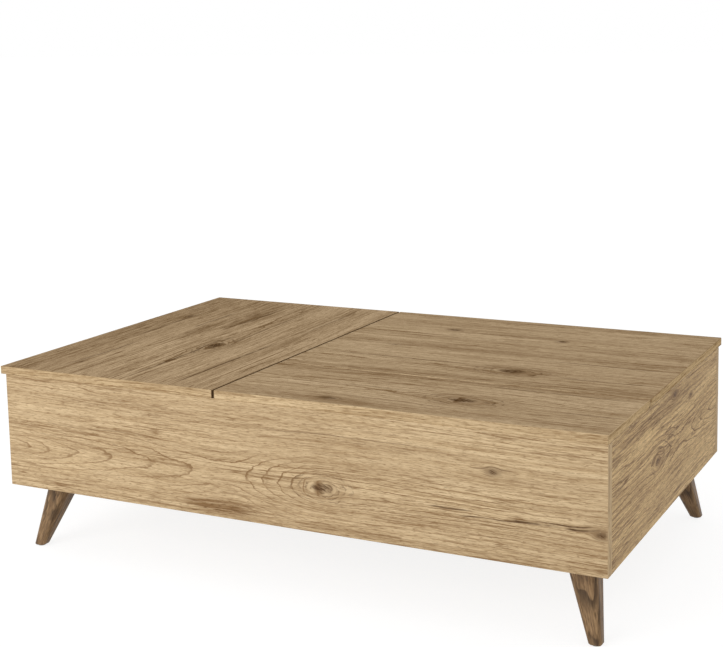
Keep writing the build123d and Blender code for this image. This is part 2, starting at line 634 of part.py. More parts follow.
# ------------------------------------------------------------------ carcass joints
class Joint:
    """A board's end butted on another board's face: where it is and which way the end points."""

    def __init__(self, face, end, inner):
        self.face, self.end = face, end
        self.toward = Vector(*inner[0])
        self.point = Vector(*inner[1])
        self.cam_side = Vector(*inner[2])
        self.top = inner[3]

    def along(self, height, radius, start, length):
        """A round bar along the joint, from start inside the face to the end board."""
        origin = Vector(self.point.X, self.point.Y, height) - self.toward * start
        plane = Plane(origin=origin, z_dir=self.toward)
        return plane.location * bar(radius, 0, length)

    def dowels(self, grow=0.0):
        """The two dowels, or their holes where grow is the clearance."""
        heights = FLOOR_OF_BOX + DOWEL_FROM_FLOOR, self.top - DOWEL_FROM_RIM
        start = DOWEL_IN_FACE + grow
        length = DOWEL_LENGTH + 2 * grow
        return [self.along(height, DOWEL_RADIUS + grow, start, length) for height in heights]

    def middle(self):
        """Height of the cam between the dowels."""
        return (FLOOR_OF_BOX + self.top) / 2

    def bolt(self, grow=0.0):
        """The cam's bolt from the face board into the end board."""
        reach = DOWEL_IN_FACE + CAM_SETBACK - CAM_RADIUS
        return self.along(self.middle(), CAM_BOLT_RADIUS + grow, DOWEL_IN_FACE + grow, reach + 2 * grow)

    def cam(self, grow=0.0):
        """The cam let into the side of the end board."""
        at = self.point + self.toward * CAM_SETBACK + self.cam_side * (BOARD / 2)
        plane = Plane(origin=(at.X, at.Y, self.middle()), z_dir=-self.cam_side)
        return plane.location * bar(CAM_RADIUS + grow, 0, CAM_DEPTH + grow)


def carcass_joints():
    """Every butted corner of the carcass, with the cam on the side that shows least."""
    found = []
    uprights = (
        ("left_side_panel", LEFT + BOARD / 2, (1, 0, 0)),
        ("long_partition", SEAM_X, (-1, 0, 0)),
        ("right_side_panel", RIGHT - BOARD / 2, (-1, 0, 0)),
    )
    for end, x, cam_side in uprights:
        found.append(Joint("front_panel", end, ((0, 1, 0), (x, INNER_FRONT, 0), cam_side, RIM)))
        found.append(Joint("back_panel", end, ((0, -1, 0), (x, INNER_BACK, 0), cam_side, RIM)))
    middle = sum(CROSS) / 2
    for face, x, toward in (("long_partition", PARTITION[1], (1, 0, 0)),
                            ("right_side_panel", INNER_RIGHT, (-1, 0, 0))):
        found.append(Joint(face, "cross_partition", (toward, (x, middle, 0), (0, 1, 0), CROSS_TOP)))
    return found


# ------------------------------------------------------------------ the sub-parts
def carcass():
    """The boards of the box, drilled for everything that is fixed to them."""
    walls = (LEG_HEIGHT, RIM)
    inside_y = (INNER_FRONT, INNER_BACK)
    parts = {
        "front_panel": board((LEFT, RIGHT), (FRONT, INNER_FRONT), walls),
        "back_panel": board((LEFT, RIGHT), (INNER_BACK, BACK), walls),
        "left_side_panel": board((LEFT, INNER_LEFT), inside_y, walls),
        "right_side_panel": board((INNER_RIGHT, RIGHT), inside_y, walls),
        "long_partition": board(PARTITION, inside_y, (FLOOR_OF_BOX, RIM)),
        "cross_partition": board((PARTITION[1], INNER_RIGHT), CROSS, (FLOOR_OF_BOX, CROSS_TOP)),
        "bottom_panel": board((INNER_LEFT, INNER_RIGHT), inside_y, (LEG_HEIGHT, FLOOR_OF_BOX)),
    }
    for name, lifts in WALL_BOARDS.items():
        for lift in lifts:
            for place in plate_screw_places():
                parts[name] -= lift.seat(place * screw_sink())
    for joint in carcass_joints():
        for hole in joint.dowels(SEAT_CLEARANCE) + [joint.bolt(SEAT_CLEARANCE)]:
            parts[joint.face] -= hole
            parts[joint.end] -= hole
        parts[joint.end] -= joint.cam(SEAT_CLEARANCE)
    for place in hinge_plate_screw_places():
        for sink in at_hinges(place * screw_sink()):
            parts["cross_partition"] -= sink
    for place in leg_screw_places():
        parts["bottom_panel"] -= place * screw_sink()
    for top in leg_tops():
        well_top = LEG_HEIGHT + LEG_BOLT_IN_BOARD + SEAT_CLEARANCE
        well = bar(LEG_BOLT_RADIUS + LEG_BOLT_PLAY, LEG_HEIGHT, well_top)
        parts["bottom_panel"] -= Pos(top.X, top.Y) * well
    return parts


def flap_board(blank):
    """Rounds the edge that turns over the cross partition and eases all the others."""
    turning = blank.edges().filter_by(Axis.X).group_by(Axis.Y)[-1].sort_by(Axis.Z)[0]
    shape = fillet(turning, FLAP_ROUND)
    seams = shape.faces().filter_by(GeomType.CYLINDER)[0].edges().filter_by(Axis.X)
    return chamfer(shape.edges() - seams, EDGE_EASE)


def lids():
    """The two lifting lids and the flap, drilled for their screws and cups."""
    thickness = (RIM, TOP)
    back_edge = BACK + BACK_OVERHANG
    right_side = (SEAM_X + LID_SEAM / 2, RIGHT)
    parts = {
        "left_lid": board((LEFT - LEFT_OVERHANG, SEAM_X - LID_SEAM / 2), (FRONT, back_edge), thickness),
        "back_lid": board(right_side, (SEAM_Y + FLAP_SEAM / 2, back_edge), thickness),
        "front_flap": flap_board(block(right_side, (FRONT, FLAP_EDGE), thickness)),
    }
    for name, lifts in LIFTS.items():
        for lift in lifts.values():
            for place in bracket_screw_places():
                parts[name] -= lift.seat(place * screw_sink())
    middle = cup_places()[0]
    for hole in at_hinges(Pos(*middle) * bar(CUP_RADIUS, 0, CUP_DEPTH + SEAT_CLEARANCE)):
        parts["front_flap"] -= hole
    for place in cup_screw_places():
        for sink in at_hinges(place * screw_sink()):
            parts["front_flap"] -= sink
    return parts


def lifts():
    """The steelwork of both lids: plates, arms, brackets, struts and their rivets and screws."""
    parts = {}
    base_pins, base_screws = [], []
    for lid, walls in LIFTS.items():
        lid_pins, arm_pins, lid_screws = [], [], []
        for side, wall in walls.items():
            name = f"{lid}_{side}"
            parts[f"{name}_base_plate"] = wall.seat(base_plate())
            parts[f"{name}_main_arm"] = wall.seat(main_arm())
            parts[f"{name}_follower_arm"] = wall.seat(follower_arm())
            parts[f"{name}_bracket"] = wall.seat(lid_bracket())
            parts[f"{name}_strut_cylinder"] = wall.seat(strut_cylinder())
            parts[f"{name}_strut_rod"] = wall.seat(strut_rod())
            for pivot in (INNER_PIVOT, OUTER_PIVOT):
                base_pins.append(wall.seat(Pos(*pivot) * base_rivet()))
                lid_pins.append(wall.seat(Pos(*(pivot + ARM_REACH)) * lid_rivet()))
            base_pins.append(wall.seat(Pos(*STRUT_BASE) * strut_pin(0, PLATE)))
            arm_pins.append(wall.seat(Pos(*STRUT_TIP) * strut_pin(ARM_BACK, ARM_FRONT)))
            base_screws += [wall.seat(place * screw()) for place in plate_screw_places()]
            lid_screws += [wall.seat(place * screw()) for place in bracket_screw_places()]
        parts[f"{lid}_pivot_rivets"] = joined(lid_pins)
        parts[f"{lid}_strut_pins"] = joined(arm_pins)
        parts[f"{lid}_bracket_screws"] = joined(lid_screws)
    parts["lift_base_rivets"] = joined(base_pins)
    parts["lift_base_screws"] = joined(base_screws)
    return parts


def flap_hinges():
    """The flap's two hinges and their screws."""
    cup_screws = [shape for place in cup_screw_places() for shape in at_hinges(place * screw())]
    plate_screws = [shape for place in hinge_plate_screw_places() for shape in at_hinges(place * screw())]
    return {
        "flap_hinge_cups": joined(at_hinges(hinge_cup())),
        "flap_hinge_pins": joined(at_hinges(hinge_pin())),
        "flap_hinge_necks": joined(at_hinges(hinge_neck())),
        "flap_hinge_arms": joined(at_hinges(hinge_arm())),
        "flap_hinge_plates": joined(at_hinges(hinge_plate())),
        "flap_cup_screws": joined(cup_screws),
        "hinge_plate_screws": joined(plate_screws),
    }


def legs():
    """The four legs with their plates, bolts, screws and glides."""
    parts = {f"{name}_leg": leg(*sides) for name, sides in LEG_CORNERS.items()}
    plates = [leg_plate(top) for top in leg_tops()]
    sinks = [place * screw_sink() for place in leg_screw_places()]
    per_leg = len(sinks) // len(plates)
    for count, sink in enumerate(sinks):
        plates[count // per_leg] -= sink
    parts["leg_plates"] = joined(plates)
    parts["leg_bolts"] = joined([leg_bolt(top) for top in leg_tops()])
    parts["leg_plate_screws"] = joined([place * screw() for place in leg_screw_places()])
    parts["foot_glides"] = joined([glide(sides) for sides in LEG_CORNERS.values()])
    return parts


def carcass_fixings():
    """Dowels, cams and cam bolts of the carcass."""
    joints = carcass_joints()
    return {
        "carcass_dowels": joined([dowel for joint in joints for dowel in joint.dowels()]),
        "cam_bolts": joined([joint.bolt() for joint in joints]),
        "cam_locks": joined([joint.cam() for joint in joints]),
    }


def main():
    """Builds every sub-part and writes it to parts/."""
    os.makedirs("parts", exist_ok=True)
    for parts in (carcass(), lids(), lifts(), flap_hinges(), legs(), carcass_fixings()):
        for name, shape in parts.items():
            export_step(shape, f"parts/{name}.step")


main()
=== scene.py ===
"""Lift top coffee table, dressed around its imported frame.

The boards get an oak decor with growth rings, knots, pores and bands that follow each board's own grain,
the legs a walnut finish, and the lifts and hinges their paint, plate and recessed screws.
"""

import logging
import math
from dataclasses import dataclass, field, fields
from enum import Enum
from typing import Any, Optional, Sequence, Union

import bmesh
import bpy
from mathutils import Matrix, Vector


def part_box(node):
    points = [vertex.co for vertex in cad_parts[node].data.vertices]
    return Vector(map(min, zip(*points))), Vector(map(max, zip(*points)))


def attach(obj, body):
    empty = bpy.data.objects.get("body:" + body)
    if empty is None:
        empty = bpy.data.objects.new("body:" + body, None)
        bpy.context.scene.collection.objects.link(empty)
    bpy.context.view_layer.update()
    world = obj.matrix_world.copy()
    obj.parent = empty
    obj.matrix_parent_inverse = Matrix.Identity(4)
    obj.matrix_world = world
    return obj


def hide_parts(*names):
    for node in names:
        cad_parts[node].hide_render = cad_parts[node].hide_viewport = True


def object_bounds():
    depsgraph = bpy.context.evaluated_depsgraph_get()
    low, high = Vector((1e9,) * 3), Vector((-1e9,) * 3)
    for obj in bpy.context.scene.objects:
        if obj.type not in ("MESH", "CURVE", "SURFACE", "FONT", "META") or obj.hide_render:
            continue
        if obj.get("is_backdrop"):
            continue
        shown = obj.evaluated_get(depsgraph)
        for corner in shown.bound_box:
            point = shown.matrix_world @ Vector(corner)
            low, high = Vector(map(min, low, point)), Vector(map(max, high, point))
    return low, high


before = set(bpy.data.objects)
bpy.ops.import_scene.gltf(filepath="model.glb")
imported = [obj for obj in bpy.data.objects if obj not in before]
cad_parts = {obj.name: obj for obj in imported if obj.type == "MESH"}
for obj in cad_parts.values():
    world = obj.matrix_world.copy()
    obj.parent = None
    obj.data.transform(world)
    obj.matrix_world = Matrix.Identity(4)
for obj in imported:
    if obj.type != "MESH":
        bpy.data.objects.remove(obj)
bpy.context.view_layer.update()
log = logging.getLogger("coffee_table")

Colour = tuple[float, float, float, float]
Number = Union[float, "Value"]
WHITE: Colour = (1.0, 1.0, 1.0, 1.0)
NOISE_MIDDLE = 0.5


def linear(part: float) -> float:
    """One display channel of 0 to 1 made linear, by the sRGB curve."""
    return part / 12.92 if part <= 0.04045 else ((part + 0.055) / 1.055) ** 2.4


def tint(red: int, green: int, blue: int) -> Colour:
    """A linear colour from display values of 0 to 255."""
    return linear(red / 255), linear(green / 255), linear(blue / 255), 1.0


# --------------------------------------------------------------------------- node trees
class Value:
    """A node's output that takes part in arithmetic."""

    def __init__(self, tree: "Tree", socket: bpy.types.NodeSocket) -> None:
        """Wraps one output socket of a tree."""
        self.tree, self.socket = tree, socket

    def _math(self, operation: str, *others: Number) -> "Value":
        """Adds a Math node on this value and the others."""
        values = dict(enumerate((self, *others)))
        return self.tree.node("ShaderNodeMath", {"operation": operation}, values)["Value"]

    def _swapped(self, operation: str, other: Number) -> "Value":
        """Adds a Math node with this value as its second term."""
        return self.tree.node("ShaderNodeMath", {"operation": operation}, {0: other, 1: self})["Value"]

    def __add__(self, other: Number) -> "Value":
        """Sum."""
        return self._math("ADD", other)

    __radd__ = __add__

    def __sub__(self, other: Number) -> "Value":
        """Difference."""
        return self._math("SUBTRACT", other)

    def __rsub__(self, other: Number) -> "Value":
        """Difference from a number."""
        return self._swapped("SUBTRACT", other)

    def __mul__(self, other: Number) -> "Value":
        """Product."""
        return self._math("MULTIPLY", other)

    __rmul__ = __mul__

    def __truediv__(self, other: Number) -> "Value":
        """Quotient."""
        return self._math("DIVIDE", other)

    def __rtruediv__(self, other: Number) -> "Value":
        """A number divided by this value."""
        return self._swapped("DIVIDE", other)

    def __pow__(self, other: Number) -> "Value":
        """Power."""
        return self._math("POWER", other)

    def __rpow__(self, other: Number) -> "Value":
        """A number to this power."""
        return self._swapped("POWER", other)

    def __neg__(self) -> "Value":
        """Negative."""
        return self._math("MULTIPLY", -1.0)

    def __abs__(self) -> "Value":
        """Size without sign."""
        return self._math("ABSOLUTE")

    def __gt__(self, other: Number) -> "Value":
        """1 where this is the greater, else 0."""
        return self._math("GREATER_THAN", other)

    def most(self, other: Number) -> "Value":
        """The larger of the two."""
        return self._math("MAXIMUM", other)

    def least(self, other: Number) -> "Value":
        """The smaller of the two."""
        return self._math("MINIMUM", other)

    def fraction(self) -> "Value":
        """What is left above the whole number."""
        return self._math("FRACT")

    def root(self) -> "Value":
        """Square root."""
        return self._math("SQRT")

    def rise(self, low: float, high: float) -> "Value":
        """Smooth step from 0 at low to 1 at high, held between them."""
        limits = {"Value": self, "From Min": low, "From Max": high}
        return self.tree.node("ShaderNodeMapRange", {"interpolation_type": "SMOOTHSTEP"}, limits)["Result"]

    def fall(self, low: float, high: float) -> "Value":
        """Smooth step from 1 at low to 0 at high, held between them."""
        return 1.0 - self.rise(low, high)

    def sway(self, reach: float) -> "Value":
        """A noise moved to lie about zero, from half the reach below to half the reach above."""
        return (self - NOISE_MIDDLE) * reach


class Outputs:
    """The outputs of one node, by name."""

    def __init__(self, tree: "Tree", node: bpy.types.Node) -> None:
        """Remembers the node."""
        self.tree, self.node = tree, node

    def __getitem__(self, name: str) -> Value:
        """The output with that identifier or name."""
        return Value(self.tree, pick(self.node.outputs, name))


def pick(sockets: Sequence[bpy.types.NodeSocket], key: Union[int, str]) -> bpy.types.NodeSocket:
    """A socket by its index, identifier or name.

    Args:
        sockets: The inputs or outputs of a node.
        key: Index, identifier or name.

    Returns:
        The socket, an enabled one where several share a name.
    """
    if isinstance(key, int):
        return sockets[key]
    for socket in sockets:
        if socket.identifier == key:
            return socket
    return next(socket for socket in sockets if socket.name == key and socket.enabled)


class Tree:
    """A node tree that is filled through one method."""

    def __init__(self, tree: bpy.types.NodeTree) -> None:
        """Takes an empty tree."""
        self.tree = tree

    def node(self, kind: str, settings: Optional[dict] = None, values: Optional[dict] = None) -> Outputs:
        """Adds a node.

        Args:
            kind: The node's type.
            settings: Its properties, with a ramp's stops under "stops".
            values: Numbers, colours or links for its inputs, a list of links for an input that joins several.

        Returns:
            The node's outputs.
        """
        made = self.tree.nodes.new(kind)
        for key, value in (settings or {}).items():
            if key == "stops":
                self._stops(made.color_ramp, value)
            else:
                setattr(made, key, value)
        for key, value in (values or {}).items():
            for one in value if isinstance(value, list) else [value]:
                socket = pick(made.inputs, key)
                if isinstance(one, Value):
                    self.tree.links.new(one.socket, socket)
                else:
                    socket.default_value = one
        return Outputs(self, made)

    @staticmethod
    def _stops(ramp: bpy.types.ColorRamp, stops: Sequence[tuple[float, float]]) -> None:
        """Gives a ramp its stops, with smooth steps between them.

        Args:
            ramp: A new node's ramp.
            stops: Place and grey of each stop, in order.
        """
        ramp.interpolation = "B_SPLINE"
        elements = ramp.elements
        while len(elements) > 1:
            elements.remove(elements[-1])
        for count, (place, grey) in enumerate(stops):
            element = elements[0] if count == 0 else elements.new(place)
            element.position = place
            element.color = (grey, grey, grey, 1.0)


@dataclass(frozen=True)
class Shade:
    """How much of a tone a texture brings: none at one level, the most at the other."""

    none: float
    full: float
    most: float = 1.0

    def of(self, level: Value) -> Value:
        """The tone's share over a texture.

        Args:
            level: The texture.

        Returns:
            The share, from 0 to the most.
        """
        rising = self.full > self.none
        share = level.rise(self.none, self.full) if rising else level.fall(self.full, self.none)
        return share if self.most == 1.0 else share * self.most


@dataclass(frozen=True)
class Mottle:
    """A noise's scale along each coordinate, its octaves and the share that each octave keeps."""

    scale: tuple[float, float, float]
    detail: float = 2.0
    rough: float = 0.5


class Shader(Tree):
    """A material under construction."""

    def __init__(self, name: str) -> None:
        """Makes an empty node material.

        Args:
            name: The material's name.
        """
        self.material = bpy.data.materials.new(name)
        self.material.use_nodes = True
        super().__init__(self.material.node_tree)
        self.tree.nodes.clear()

    def split(self, vector: Value) -> list[Value]:
        """The three parts of a vector."""
        parts = self.node("ShaderNodeSeparateXYZ", None, {"Vector": vector})
        return [parts[axis] for axis in "XYZ"]

    def place(self) -> list[Value]:
        """Where the surface lies in the object's own metres, as three values."""
        return self.split(self.node("ShaderNodeTexCoord")["Object"])

    def facing(self) -> list[Value]:
        """How much the surface faces each axis of the object, as three sizes."""
        return [abs(part) for part in self.split(self.node("ShaderNodeTexCoord")["Normal"])]

    def noise(self, x: Number, y: Number, z: Number = 0.0, detail: float = 2.0, rough: float = 0.5) -> Value:
        """Soft noise about 0.5 over scaled coordinates.

        Args:
            x: First coordinate, already scaled.
            y: Second coordinate, already scaled.
            z: Third coordinate, which may be a seed.
            detail: Octaves.
            rough: Share kept by each octave.

        Returns:
            The noise.
        """
        at = self.node("ShaderNodeCombineXYZ", None, {"X": x, "Y": y, "Z": z})["Vector"]
        values = {"Vector": at, "Scale": 1.0, "Detail": detail, "Roughness": rough}
        return self.node("ShaderNodeTexNoise", {"noise_dimensions": "3D"}, values)["Fac"]

    def mottled(self, place: Sequence[Number], mottle: Mottle) -> Value:
        """Soft noise about 0.5 over three coordinates."""
        x, y, z = (part * scale for part, scale in zip(place, mottle.scale))
        return self.noise(x, y, z, mottle.detail, mottle.rough)

    def blend(self, first: Any, second: Any, share: Number) -> Value:
        """Mixes two colours, the share held between 0 and 1."""
        values = {"Factor_Float": share, "A_Color": first, "B_Color": second}
        return self.node("ShaderNodeMix", {"data_type": "RGBA"}, values)["Result_Color"]

    def bump(self, height: Value, distance: float, strength: float) -> Value:
        """A normal from a height in units of distance."""
        values = {"Height": height, "Distance": distance, "Strength": strength}
        return self.node("ShaderNodeBump", None, values)["Normal"]

    def surface(self, **values: Any) -> bpy.types.Material:
        """Closes the material with a principled surface.

        Args:
            **values: Inputs of the surface, with underscores for spaces in their names.

        Returns:
            The material.
        """
        named = {key.replace("_", " "): value for key, value in values.items()}
        shader = self.node("ShaderNodeBsdfPrincipled", None, named)["BSDF"]
        self.node("ShaderNodeOutputMaterial", None, {"Surface": shader})
        return self.material


# --------------------------------------------------------------------------- oak decor
@dataclass(frozen=True)
class Texture:
    """A soft noise drawn out along the grain: its pitch along and across in metres, and its own seed."""

    along: float
    across: float
    seed: int
    detail: float = 2.0
    rough: float = 0.5


# The decor's textures, in the order of their seeds.
WANDER = Texture(0.60, 0.33, 0)
FIBRE = Texture(0.21, 0.0060, 3, 4.0, 0.62)
HAIR = Texture(0.062, 0.0034, 5, 4.0, 0.66)
PORE = Texture(0.013, 0.0016, 7)
FLECK = Texture(0.013, 0.0016, 11)
BAND = Texture(1.10, 0.075, 13, 3.0)
STREAK = Texture(0.42, 0.019, 15, 3.0, 0.55)
KNOT_EDGE = Texture(0.012, 0.010, 17)
RING_DRIFT = Texture(0.050, 0.013, 23, 3.0)
PATCH = Texture(0.60, 0.060, 29)
LINE = Texture(0.34, 0.010, 41)
RING_EDGE = Texture(0.012, 0.010, 43)
RING_GAP = Texture(0.050, 0.013, 47, 3.0)
TICK = Texture(0.024, 0.0034, 53)
FINE = Texture(0.021, 0.0009, 59)
KNOT_GAP = Texture(0.030, 0.011, 61)
HATCH = Texture(0.018, 0.0030, 67)

# Along x, the middle of the gap between the left lid and the other two.
LID_SEAM = (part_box("left_lid")[1].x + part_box("front_flap")[0].x) / 2


class Lie(Enum):
    """How a board lies: the axes of its grain, its width and its thickness."""

    FRONT = (0, 2, 1)
    SIDE = (1, 2, 0)
    FLAT_ALONG = (0, 1, 2)
    FLAT_ACROSS = (1, 0, 2)


@dataclass(frozen=True)
class Knot:
    """A knot, placed by shares of the board's length and width, its radius in metres."""

    along: float
    across: float
    radius: float
    stretch: float = 2.2
    depth: float = 1.0


@dataclass(frozen=True)
class Smudge:
    """A darker streak, placed by shares of the board, and faded to a third at its half sizes in metres."""

    along: float
    across: float
    length: float
    width: float
    strength: float


@dataclass(frozen=True)
class Crack:
    """A thin dark line along the grain, from share to share of the length, its half width in metres."""

    start: float
    end: float
    across: float
    strength: float
    width: float = 0.0009


@dataclass(frozen=True)
class Figure:
    """The heart figure of the growth rings.

    Its middle runs at a share of the board's width, and strength adds to the rings near it. The depths
    say, at shares of the length, how far below the face the rings' centre lies, in metres as the spacing.
    """

    across: float
    strength: float
    depth: tuple[tuple[float, float], ...]
    spacing: float = 0.0085


@dataclass(frozen=True)
class OakTones:
    """The colours of the decor."""

    light: Colour = tint(216, 191, 152)
    mid: Colour = tint(190, 163, 124)
    band: Colour = tint(158, 131, 97)
    ring: Colour = tint(126, 95, 60)
    heart: Colour = tint(82, 56, 32)


# Shaded copies of the front's oak for the lids' tops: the same decor, painted darker because the top takes
# less light.
SHADED_LID_TONES = OakTones(
    light=tint(207, 182, 147), mid=tint(181, 156, 121), band=tint(150, 124, 93),
    ring=tint(120, 91, 58), heart=tint(77, 53, 31),
)
SHADED_LEFT_LID_TONES = OakTones(
    light=tint(204, 178, 143), mid=tint(176, 150, 116), band=tint(144, 118, 87),
    ring=tint(111, 84, 53), heart=tint(72, 50, 30),
)
# A lit copy of the front's oak for the side boards: the same decor, painted lighter and warmer for how light
# falls on the sides.
LIT_SIDE_TONES = OakTones(
    light=tint(231, 199, 146), mid=tint(204, 170, 118), band=tint(164, 130, 86),
    ring=tint(118, 86, 50), heart=tint(88, 58, 32),
)
END_TONES = OakTones(
    light=tint(214, 186, 143), mid=tint(192, 163, 121), band=tint(164, 135, 96),
    ring=tint(130, 101, 66), heart=tint(90, 63, 38),
)


@dataclass(frozen=True)
class GroundLook:
    """How the ground is shaded, from the pale fibres to the dark ticks of the pores."""

    pale_fibre: Shade = Shade(0.34, 0.62, 0.8)
    pale_streak: Shade = Shade(0.46, 0.64, 0.2)
    band: Shade = Shade(0.40, 0.68, 0.30)
    dark_streak: Shade = Shade(0.54, 0.36, 0.30)
    fleck: Shade = Shade(0.56, 0.70, 0.62)
    line: Shade = Shade(0.030, 0.003)
    line_patch: Shade = Shade(0.38, 0.64, 0.50)
    line_least: float = 0.32
    dark_fibre: Shade = Shade(0.46, 0.30, 0.29)
    dark_hair: Shade = Shade(0.48, 0.33, 0.46)
    pale_fine: Shade = Shade(0.50, 0.66, 0.44)
    dark_fine: Shade = Shade(0.52, 0.36, 0.33)
    pore: Shade = Shade(0.56, 0.68)
    pore_share: float = 0.62
    tick: Shade = Shade(0.68, 0.74)


@dataclass(frozen=True)
class SmudgeLook:
    """How a smudge is shaded: a streaky ring tone, with strokes of the heart tone in it."""

    fibre: Shade = Shade(0.66, 0.34, 0.34)
    hair: Shade = Shade(0.56, 0.38, 0.50)
    least: float = 0.16
    stroke: Shade = Shade(0.46, 0.36, 0.6)
    pores: float = 0.4
    heart_share: float = 0.6


@dataclass(frozen=True)
class RingLook:
    """How the growth rings run.

    Meander is the sway of their middle in metres. Swell, drift and edge push the rings to and fro, in
    turns. Each ring darkens and ends at shares of its turn, and rings are strong near the middle.
    """

    meander_scale: float = 3.1
    meander_row: float = 4.0
    meander: float = 0.022
    swell_noise: Mottle = Mottle((1.2, 10.0, 1.0))
    swell_seed: int = 19
    swell: float = 2.6
    drift: float = 0.6
    edge: float = 0.3
    onset: Shade = Shade(0.78, 0.91)
    close: Shade = Shade(0.99, 0.94)
    line_share: float = 0.95
    flush: Shade = Shade(0.05, 0.90)
    flush_share: float = 0.10
    near: Shade = Shade(0.062, 0.014)
    patch: Shade = Shade(0.36, 0.66, 0.26)
    least: float = 0.16
    gap: Shade = Shade(0.28, 0.50, 0.6)
    gap_least: float = 0.4


@dataclass(frozen=True)
class CrackLook:
    """How a crack runs.

    It sways and has gaps, tapers over a share of its length at each end, and has run out some millimetres
    past its end. It is darkest within sharp and gone at soft, in its own half widths.
    """

    sway_noise: Mottle = Mottle((9.0, 50.0, 1.0), 3.0)
    sway_seed: int = 31
    sway: float = 0.012
    gap_noise: Mottle = Mottle((26.0, 20.0, 1.0))
    gap_seed: int = 37
    gap: Shade = Shade(0.28, 0.56, 0.75)
    gap_least: float = 0.25
    taper: float = 0.25
    past_end: float = 0.004
    sharp: float = 0.3
    soft: float = 1.6


@dataclass(frozen=True)
class KnotLook:
    """How a knot is shaded, by the distance from its middle in its own radii.

    A knot of at least the radius ringed_from, in metres, has ringlets round its core, and a smaller one
    has a blot. The core is hatched along lines that slant across the grain.
    """

    ragged: float = 0.7
    turns: float = 2.1
    first_turn: float = 0.35
    onset: Shade = Shade(0.50, 0.85)
    close: Shade = Shade(0.99, 0.90)
    reach: Shade = Shade(2.6, 1.9)
    gap: Shade = Shade(0.40, 0.56)
    ringed_from: float = 0.0092
    blot: Shade = Shade(1.8, 1.1, 0.5)
    core: Shade = Shade(1.0, 0.30)
    halo: Shade = Shade(3.4, 0.9)
    share: float = 0.55
    hatch_slant: float = 0.45
    hatch: Shade = Shade(0.58, 0.42, 0.55)
    hatch_least: float = 0.45
    dent: float = 0.7


@dataclass(frozen=True)
class PressLook:
    """How the grain is pressed into the board: each texture's share of the relief, and the gloss."""

    fibre: float = 0.5
    hair: float = 0.25
    fine: float = 0.2
    pores: float = 0.5
    rings: float = 0.5
    depth: float = 0.00022
    strength: float = 0.55
    roughness: float = 0.52
    rough_fibre: float = 0.14
    rough_pores: float = 0.10


GROUND, SMUDGES, RINGS = GroundLook(), SmudgeLook(), RingLook()
CRACKS, KNOTS, PRESS = CrackLook(), KnotLook(), PressLook()


@dataclass(frozen=True)
class OakDecor:
    """Printed oak with a pressed grain, laid out on one board.

    The figure, knots, smudges and cracks show on the broad faces. The long edges take the edge tones, or
    the face's own where sides_banded is off, and the ends of the grain take the end tones. A seam is the
    place along x where an edge faces another lid.
    """

    lie: Lie
    seed: float
    figure: Figure
    knots: tuple[Knot, ...] = ()
    smudges: tuple[Smudge, ...] = ()
    cracks: tuple[Crack, ...] = ()
    tones: OakTones = OakTones()
    edge_tones: OakTones = OakTones()
    end_tones: OakTones = END_TONES
    contrast: float = 1.0
    ticks: float = 0.35
    sides_banded: bool = True
    # where a lid's edge faces another lid; that edge gets painted shade for the shadow in the gap
    seam: Optional[float] = None
    specular: float = 0.14

    def build(self, node: str) -> bpy.types.Material:
        """Builds the material for a board.

        Args:
            node: The board's CAD node, whose box places the figure.

        Returns:
            The material.
        """
        return OakPrint(node, self).finished()


